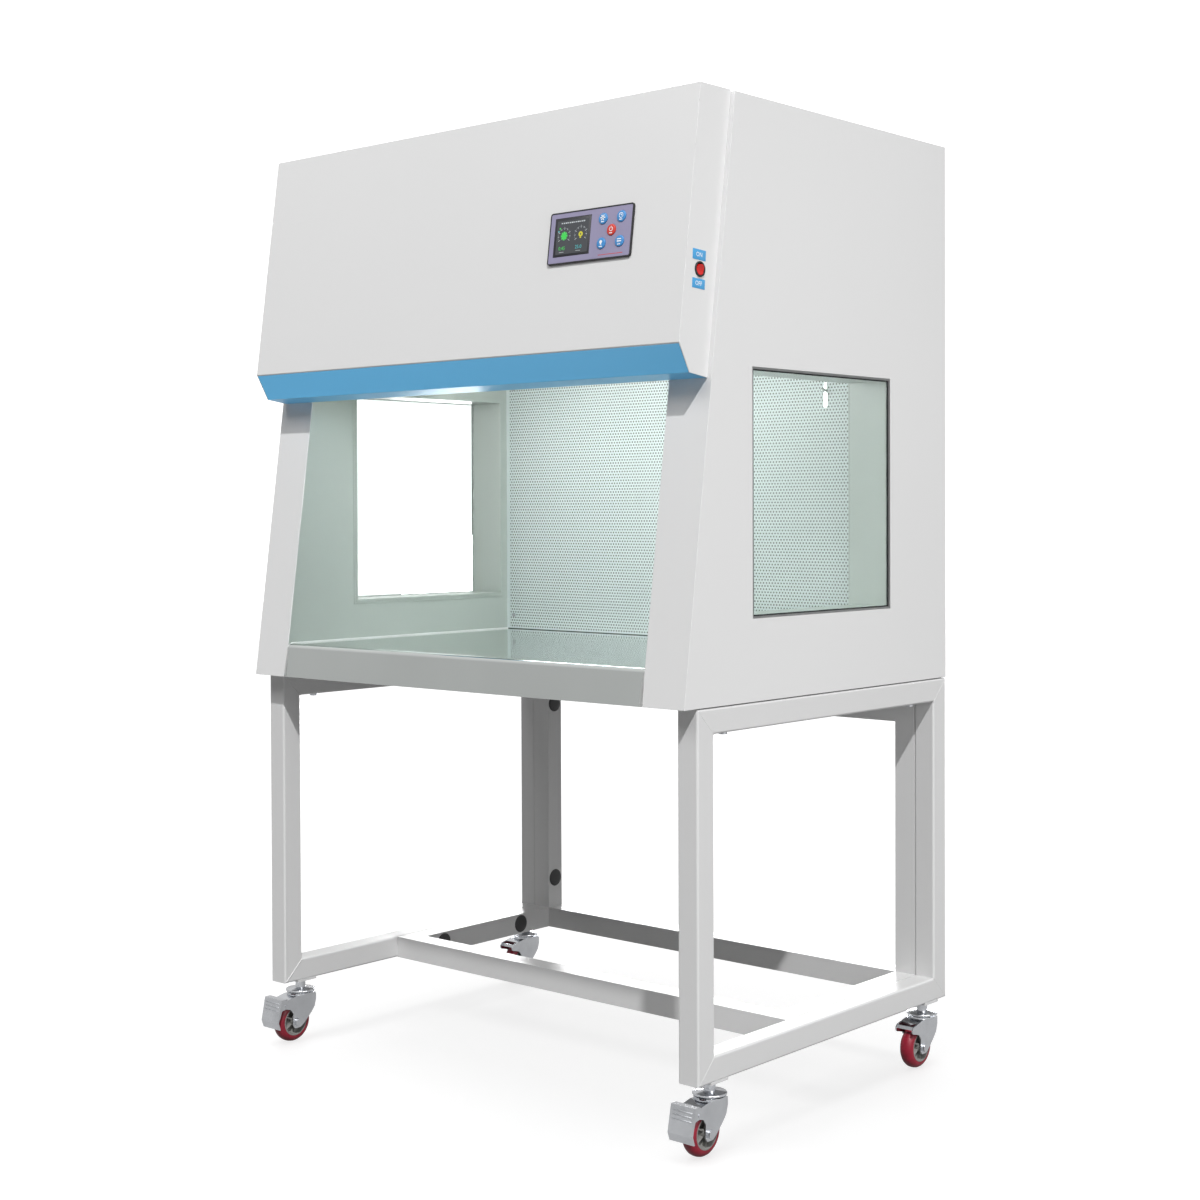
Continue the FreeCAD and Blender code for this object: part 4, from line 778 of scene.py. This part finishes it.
def worktop_beads():
    bead = details().bead
    bm = bmesh.new()
    for side in (-1, 1):
        run_of_tube(bm, nose_path(side * (INNER_X - bead * 0.45)), bead, 12)
    add_piece("worktop_beads", to_mesh("worktop_beads", bm, 60), "cabinet", [MATERIALS["sealant"]])


# Hood and its controls


def hood_pieces():
    edged("hood_cover", 1.0, 3)
    edged("hood_skirt", 0.6)


def panel_pieces():
    """Rim round the control panel and the line printed low on its face."""
    bezel = edged("control_bezel", 0.35)
    bezel.data.materials.append(MATERIALS["black_plastic"])
    outwards = SLOPE.to_3x3() @ Vector((0, -1, 0))
    for face in bezel.data.polygons:
        face.material_index = 0 if face.normal.dot(outwards) > 0.9 else 1
    ring = bmesh.new()
    out, into = ([ring.verts.new((x * MM, (PANEL_FACE - 0.35) * MM, z * MM)) for x, z in outline]
                 for outline in (rounded(214.8, 683.3, 388.2, 767.2, 4.2), rounded(216.9, 685.4, 386.1, 765.1, 2.6)))
    faces = [ring.faces.new((out[k], out[(k + 1) % len(out)], into[(k + 1) % len(out)], into[k]))
             for k in range(len(out))]
    thicken(ring, faces, 3.3)
    bm = bmesh.new()
    join(bm, ring, SLOPE)
    add_piece("panel_rim", to_mesh("panel_rim", bm, 40), "cabinet", [MATERIALS["black_plastic"]])
    line = bmesh.new()
    add_plate(line, strip(322, 690.5, 372, 690.5, 0.9), PANEL_FACE + 0.02, -0.08, SLOPE)
    add_piece("panel_line", to_mesh("panel_line", line), "cabinet", [MATERIALS["key_red"]])


def display_pieces():
    """Screen with two gauges, a title row and plain numbers."""
    face = PANEL_FACE + 0.6 - 0.3
    shown, depth = face - 0.02, -0.08
    left, right, middle = 246.5, 281.5, 728.5
    glass, white, green, cyan, yellow, back, dim = range(7)
    bm = bmesh.new()

    def mark(outline, finish):
        add_plate(bm, outline, shown, depth, SLOPE, finish)

    add_plate(bm, rounded(226.1, 695.1, 301.9, 757.4, 1.2), face, 8, SLOPE, glass, 0.25)
    add_plate(bm, rounded(230.5, 699.2, 297.5, 753.3, 1.5), face - 0.005, -0.01, SLOPE, back)
    for k in range(12):
        mark(strip(239 + 4.2 * k, 749.2, 241.4 + 4.2 * k + (k % 3) * 0.5, 749.2, 1.9), white)
    for x in (left, right):
        mark(arc_band(x, middle, 12.4, 12.9, -35, 215, 30), dim)
        for k in range(9):
            angle = math.radians(-35 + 31.25 * k)
            inner, outer = (10.6, 13.4) if k % 2 else (10.0, 14.4)
            mark(strip(x + inner * math.cos(angle), middle + inner * math.sin(angle),
                       x + outer * math.cos(angle), middle + outer * math.sin(angle), 0.7), white)
    for k in range(8):
        angle = math.radians(45 * k)
        mark(strip(left, middle, left + 7 * math.cos(angle), middle + 7 * math.sin(angle), 3.4), green)
    mark(arc_band(right, middle, 1.4, 4.4, 0, 360, 20), yellow)
    mark(rounded(right - 1.6, middle - 6.4, right + 1.6, middle - 4.6, 0.4), yellow)
    mark(arc_band(237, 741, 0.01, 1.6, 0, 360, 10), green)
    mark(arc_band(234.5, 736.5, 0.01, 1.4, 0, 360, 10), cyan)
    lettering(bm, "0.45", 8, left - 3, 708.4, shown, depth, SLOPE, green)
    lettering(bm, "25.0", 8, right - 3, 708.4, shown, depth, SLOPE, cyan)
    for x in (left - 3, right - 3):
        mark(strip(x - 5, 702.4, x + 5, 702.4, 0.6), white)
    mesh = to_mesh("display_screen", bm, 40, tidy=False)
    add_piece("display_screen", mesh, "cabinet",
              [MATERIALS[name] for name in ("display_glass", "glow_white", "glow_green", "glow_cyan", "glow_yellow",
                                            "glow_back", "glow_dim")], ["display"])


KEY_PLACES = {"key_fan": (327, 748), "key_timer": (364.5, 748), "key_power": (346, 728.4), "key_lamp": (327, 708.7),
              "key_uv": (364.5, 709)}


def key_sign(node, x, z):
    """Outlines of the white sign on a key, the first a short bar under it."""
    bar = strip(x - 3, z - 5.2, x + 3, z - 5.2, 1.5)
    z += 1.4
    if node == "key_fan":
        rays = [(math.cos(math.pi / 3 * k), math.sin(math.pi / 3 * k)) for k in range(6)]
        blades = [strip(x + 1.5 * c, z + 1.5 * s, x + 5 * c, z + 5 * s, 1.9) for c, s in rays]
        return [bar, *blades, arc_band(x, z, 1.2, 2.5, 0, 360, 14)]
    if node == "key_timer":
        return [bar, arc_band(x, z, 3.4, 4.3, 0, 360, 28), strip(x, z, x, z + 2.7, 0.9), strip(x, z, x + 2, z, 0.9)]
    if node == "key_power":
        return [bar, arc_band(x, z, 2.8, 3.8, -235, 55, 26), strip(x, z + 0.4, x, z + 4.4, 1.1)]
    if node == "key_lamp":
        return [bar, arc_band(x, z + 0.8, 0.01, 2.8, 0, 360, 20), rounded(x - 1.3, z - 3.8, x + 1.3, z - 1.4, 0.4)]
    tubes = [rounded(x - 4.4, z + tube - 0.8, x + 4.4, z + tube + 0.8, 0.7) for tube in (-1.7, 1.7)]
    feet = [strip(x - 2.6 + 2.6 * k, z - 3.9, x - 2.6 + 2.6 * k, z - 3.1, 0.7) for k in range(3)]
    return [bar, *tubes, *feet]


def key_pieces():
    for node, (x, z) in KEY_PLACES.items():
        back, flange = -HOOD_PROUD + 0.05, 10.3
        cap = [(KEY_FACE, 0), (KEY_FACE, 7.4), (KEY_FACE + 0.15, 8.2), (KEY_FACE + 0.6, 8.8), (KEY_FACE + 1.2, 9),
               (back, 9), (back, flange), (back + 1.2, flange), (back + 1.2, 3), (back + 7.05, 3), (back + 7.05, 0)]
        bm = bmesh.new()
        add_turned(bm, cap, (x, 0, z), "Y", 48, SLOPE)
        slot = "key_red" if node == "key_power" else "key_blue"
        body = body_of_node(node)
        add_piece(node + "_cap", to_mesh(node + "_cap", bm, 30), body, [MATERIALS[slot]], [node])
        sign = bmesh.new()
        for outline in key_sign(node, x, z):
            add_plate(sign, outline, KEY_FACE + 0.02, -0.12, SLOPE)
        add_piece(node + "_sign", to_mesh(node + "_sign", sign, tidy=False), body, [MATERIALS["print_white"]])


def switch_pieces():
    """Plates with ON and OFF above and below the mains switch, on the hood's right side."""
    edged("switch_housing", 0.4, 3)
    edged("switch_rocker", 0.5, 3)
    for word, low, high in (("ON", (-337.5, 1360), (-306, 1376)), ("OFF", (-339, 1317), (-308.5, 1332))):
        bm = bmesh.new()
        centre = ((low[0] + high[0]) / 2, (low[1] + high[1]) / 2)
        tilt = Matrix.Translation((0, centre[0] * MM, centre[1] * MM)) @ Matrix.Rotation(-math.radians(3.5), 4, "X")
        place = Matrix.Translation((HOOD_HALF, 0, 0)) @ tilt @ Matrix.Rotation(math.pi / 2, 4, "Z")
        half_x, half_z = (high[0] - low[0]) / 2, (high[1] - low[1]) / 2
        add_plate(bm, rounded(-half_x, -half_z, half_x, half_z, 1), 0, -0.4, place, 0, 0.12)
        lettering(bm, word, 9.5, 0, 0, -0.38, -0.1, place, 1)
        name = "label_" + word.lower()
        add_piece(name, to_mesh(name, bm, tidy=False), "cabinet",
                  [MATERIALS["label_blue"], MATERIALS["print_white"]])


# Fittings


def fitting_pieces():
    edged("accessory_hook", 0.25)
    edged("power_inlet", 0.5)
    edged("lamp_fitting", 0.8)
    bm = bmesh.new()
    for x, z in ((300, 1564.5), (292.5, 1557), (307.5, 1557)):
        add_block(bm, (x - 1, 355, z - 3), (x + 1, 368, z + 3), 0.4)
    add_piece("inlet_pins", to_mesh("inlet_pins", bm), "cabinet", [MATERIALS["zinc"]])


def plain_nodes():
    """Give every node that still shows the finish of its slot."""
    for node, piece in frame["nodes"].items():
        slot, material = finish_for(node)
        piece.data.materials.clear()
        piece.data.materials.append(material)


# Stage


CAMERA_PLACE = (2.26945, -2.56317, 0.98372)
CAMERA_YAW, CAMERA_PITCH, CAMERA_ROLL = 41.36, 0.92, -0.22
PICTURE, FOCAL, CENTRE_ROW, SENSOR = 1200, 1894.01, 541.12, 36


def add_camera():
    yaw, pitch, roll = (math.radians(a) for a in (CAMERA_YAW, CAMERA_PITCH, CAMERA_ROLL))
    forward = Vector((-math.sin(yaw) * math.cos(pitch), math.cos(yaw) * math.cos(pitch), -math.sin(pitch)))
    right = Vector((math.cos(yaw), math.sin(yaw), 0))
    upward = right.cross(forward)
    right_rolled = right * math.cos(roll) + upward * math.sin(roll)
    up_rolled = upward * math.cos(roll) - right * math.sin(roll)
    camera = bpy.data.objects.new("camera", bpy.data.cameras.new("camera"))
    turn = Matrix((right_rolled, up_rolled, -forward)).transposed().to_4x4()
    camera.matrix_world = Matrix.Translation(CAMERA_PLACE) @ turn
    camera.data.lens = FOCAL / PICTURE * SENSOR
    camera.data.sensor_width = SENSOR
    camera.data.shift_y = (CENTRE_ROW - PICTURE / 2) / PICTURE
    bpy.context.scene.collection.objects.link(camera)
    bpy.context.scene.camera = camera


KEY_TO_LIGHT = (0.485, -0.437, 0.758)
SOFTLY_LIT = ("floor", "liner", "ceiling", "worktop", "screen", "diffuser", "gasket", "window_lip",
              "lamp_fitting", "lamp_tubes")


LAMPS = (
    ("right_box", (2.7, -0.4, 1.5), (0.5, 0, 1.0), (1.6, 1.8), 27, "EXCLUDE", SOFTLY_LIT),
    ("front_box", (-0.4, -2.9, 3.9), (0, -0.4, 1.3), (2.2, 1.6), 62, None, ()),
    ("top_box", (0.6, 0.6, 4.2), (0, 0, 0.8), (2.6, 2.6), 17, None, ()),
    ("work_light", (0, SCREEN_Y - 0.2, CEILING_Z - 0.03), (0, SCREEN_Y, CEILING_Z - 0.3), (0.76, 0.08), 0.5, None, ()),
    ("floor_box", (0, 0, 5), (0, 0, 0), (3.4, 3.4), 150, "INCLUDE", ("floor",)),
    ("low_box", (-0.6, -2.2, 0.2), (0, -0.42, 1.25), (1.8, 1.0), 31, "INCLUDE", ("hood_skirt",)),
    ("rear_box", (-1.7, 2.8, 0.55), (0, 0.2, 0.85), (2.6, 0.7), 75, "EXCLUDE", SOFTLY_LIT),
)


def light_only(lamp, state, parts):
    """Keep a lamp off the pieces whose names hold one of the parts, or give it to them alone."""
    chosen = bpy.data.collections.new(lamp.name + "_receivers")
    for piece in bpy.context.scene.collection.all_objects:
        if any(part in piece.name for part in parts):
            chosen.objects.link(piece)
    lamp.light_linking.receiver_collection = chosen
    for entry in chosen.collection_objects:
        entry.light_linking.link_state = state


def add_key_light():
    """A small far light over the camera's right shoulder."""
    light = bpy.data.lights.new("key_light", "SUN")
    light.angle = math.radians(1.5)
    light.energy = 2.8
    lamp = bpy.data.objects.new("key_light", light)
    lamp.rotation_euler = Vector(KEY_TO_LIGHT).to_track_quat("Z", "Y").to_euler()
    bpy.context.scene.collection.objects.link(lamp)
    return lamp


def add_lamp(name, place, target, size, power):
    """A soft box that faces a target."""
    light = bpy.data.lights.new(name, "AREA")
    light.shape = "RECTANGLE"
    light.size, light.size_y = size
    light.energy = power
    lamp = bpy.data.objects.new(name, light)
    lamp.location = place
    lamp.rotation_euler = (Vector(target) - Vector(place)).to_track_quat("-Z", "Y").to_euler()
    bpy.context.scene.collection.objects.link(lamp)
    return lamp


def add_floor():
    bm = bmesh.new()
    bmesh.ops.create_grid(bm, x_segments=2, y_segments=2, size=14)
    mesh = to_mesh("floor", bm)
    floor = bpy.data.objects.new("floor", mesh)
    bpy.context.scene.collection.objects.link(floor)
    material, tree, base = shader("floor_white", (0.3, 0.3, 0.3), 0.6, Emission_Color=(1, 1, 1, 1))
    tone(tree, object_pattern(tree, "Noise", 0.6, Detail=2), (0.29, 0.29, 0.29), (0.31, 0.31, 0.31),
         base.inputs["Base Color"])
    seen = tree.nodes.new("ShaderNodeLightPath")
    shown = calculated(tree, "MULTIPLY_ADD", seen.outputs["Is Glossy Ray"], 0.4, seen.outputs["Is Camera Ray"])
    fall = object_pattern(tree, "Gradient", None, (0.3, 0.3, 0.3))
    fall.node.gradient_type = "SPHERICAL"
    glow = calculated(tree, "MULTIPLY", shown, map_range(tree, fall, 0.0, 0.8, 1.05, 0.78))
    tree.links.new(glow, base.inputs["Emission Strength"])
    mesh.materials.append(material)


def stage_pieces():
    """The key light, the right box and the rear box stay out of the work space, as its own lamps light that; the low
    box stands for the light that the floor sends up to the hood's slanted foot."""
    add_camera()
    add_floor()
    add_studio()
    bpy.context.scene.view_settings.view_transform = "Standard"
    light_only(add_key_light(), "EXCLUDE", SOFTLY_LIT)
    for name, place, target, size, power, state, parts in LAMPS:
        lamp = add_lamp(name, place, target, size, power)
        if state:
            light_only(lamp, state, parts)


def add_studio():
    """A room that lights dimly but shows bright in shiny metal, with a white backdrop."""
    world = bpy.data.worlds.new("studio")
    world.use_nodes = True
    tree = world.node_tree
    back = tree.nodes["Background"]
    place = tree.nodes.new("ShaderNodeTexCoord")
    split = tree.nodes.new("ShaderNodeSeparateXYZ")
    tree.links.new(place.outputs["Generated"], split.inputs["Vector"])
    seen = tree.nodes.new("ShaderNodeLightPath")
    white = calculated(tree, "MAXIMUM", seen.outputs["Is Camera Ray"], seen.outputs["Is Transmission Ray"])
    mirrored, blend = (tree.nodes.new("ShaderNodeMix") for _ in range(2))
    mirrored.data_type = blend.data_type = "RGBA"
    for socket, dark, light in (("A", 0.1, 0.12), ("B", 0.52, 1.0)):
        tone(tree, split.outputs["Z"], (dark,) * 3, (light,) * 3, mirrored.inputs[socket], 0.0, 0.9)
    blend.inputs["B"].default_value = (1.45, 1.45, 1.45, 1)
    for a, b in ((seen.outputs["Is Glossy Ray"], mirrored.inputs["Factor"]), (white, blend.inputs["Factor"]),
                 (mirrored.outputs["Result"], blend.inputs["A"]), (blend.outputs["Result"], back.inputs["Color"])):
        tree.links.new(a, b)
    bpy.context.scene.world = world


# Operators


class CABINET_OT_materials(bpy.types.Operator):
    """Make the finishes and give them to the frame's pieces"""
    bl_idname = "cabinet.materials"
    bl_label = "Finishes"

    def execute(self, context):
        make_materials()
        plain_nodes()
        return {"FINISHED"}


class CABINET_OT_stage(bpy.types.Operator):
    """Add the floor, the lights and the camera"""
    bl_idname = "cabinet.stage"
    bl_label = "Stage"

    def execute(self, context):
        stage_pieces()
        return {"FINISHED"}


class CABINET_OT_stand(bpy.types.Operator):
    """Dress the stand's tubes and their weld seams"""
    bl_idname = "cabinet.stand"
    bl_label = "Stand"

    def execute(self, context):
        stand_pieces()
        return {"FINISHED"}


class CABINET_OT_plugs(bpy.types.Operator):
    """Add the domed caps of the access holes"""
    bl_idname = "cabinet.plugs"
    bl_label = "Plugs"

    def execute(self, context):
        plug_pieces()
        return {"FINISHED"}


class CABINET_OT_casters(bpy.types.Operator):
    """Dress stems, forks, wheels and brake pedals"""
    bl_idname = "cabinet.casters"
    bl_label = "Casters"

    def execute(self, context):
        caster_pieces()
        return {"FINISHED"}


class CABINET_OT_shell(bpy.types.Operator):
    """Dress the cabinet's folded panels and its worktop"""
    bl_idname = "cabinet.shell"
    bl_label = "Panels"

    def execute(self, context):
        shell_pieces()
        return {"FINISHED"}


class CABINET_OT_windows(bpy.types.Operator):
    """Dress the side windows and their lips"""
    bl_idname = "cabinet.windows"
    bl_label = "Windows"

    def execute(self, context):
        window_pieces()
        return {"FINISHED"}


class CABINET_OT_screen(bpy.types.Operator):
    """Make the perforated screen"""
    bl_idname = "cabinet.screen"
    bl_label = "Perforated screen"

    def execute(self, context):
        perforated_screen()
        return {"FINISHED"}


class CABINET_OT_beads(bpy.types.Operator):
    """Lay the sealant beads at the worktop's ends"""
    bl_idname = "cabinet.beads"
    bl_label = "Sealant beads"

    def execute(self, context):
        worktop_beads()
        return {"FINISHED"}


class CABINET_OT_hood(bpy.types.Operator):
    """Dress the hood"""
    bl_idname = "cabinet.hood"
    bl_label = "Hood"

    def execute(self, context):
        hood_pieces()
        return {"FINISHED"}


class CABINET_OT_controls(bpy.types.Operator):
    """Dress the control panel, its display and its keys"""
    bl_idname = "cabinet.controls"
    bl_label = "Control panel"

    def execute(self, context):
        panel_pieces()
        display_pieces()
        key_pieces()
        return {"FINISHED"}


class CABINET_OT_switch(bpy.types.Operator):
    """Dress the mains switch and its labels"""
    bl_idname = "cabinet.switch"
    bl_label = "Mains switch"

    def execute(self, context):
        switch_pieces()
        return {"FINISHED"}


class CABINET_OT_fittings(bpy.types.Operator):
    """Dress the hook, the power inlet and the lamp fitting"""
    bl_idname = "cabinet.fittings"
    bl_label = "Fittings"

    def execute(self, context):
        fitting_pieces()
        return {"FINISHED"}


STEPS = (CABINET_OT_materials, CABINET_OT_stand, CABINET_OT_plugs, CABINET_OT_casters,
         CABINET_OT_shell, CABINET_OT_windows, CABINET_OT_screen, CABINET_OT_beads, CABINET_OT_hood,
         CABINET_OT_controls, CABINET_OT_switch, CABINET_OT_fittings, CABINET_OT_stage)


class CABINET_PT_sidebar(bpy.types.Panel):
    """Sizes, colours and steps of the flow cabinet"""
    bl_idname = "CABINET_PT_sidebar"
    bl_label = "Flow cabinet"
    bl_space_type = "VIEW_3D"
    bl_region_type = "UI"
    bl_category = "Flow cabinet"

    def draw(self, context):
        for group in (context.scene.cabinet_colours, context.scene.cabinet_details):
            column = self.layout.column()
            for name in group.__annotations__:
                column.prop(group, name)
        for step in STEPS:
            self.layout.operator(step.bl_idname)


CLASSES = (CabinetColours, CabinetDetails) + STEPS + (CABINET_PT_sidebar,)


def register():
    for cls in CLASSES:
        bpy.utils.register_class(cls)
    bpy.types.Scene.cabinet_colours = PointerProperty(type=CabinetColours)
    bpy.types.Scene.cabinet_details = PointerProperty(type=CabinetDetails)


def unregister():
    del bpy.types.Scene.cabinet_details
    del bpy.types.Scene.cabinet_colours
    for cls in reversed(CLASSES):
        bpy.utils.unregister_class(cls)


def main():
    register()
    for step in STEPS:
        group, name = step.bl_idname.split(".")
        getattr(getattr(bpy.ops, group), name)()


if __name__ == "__main__":
    main()
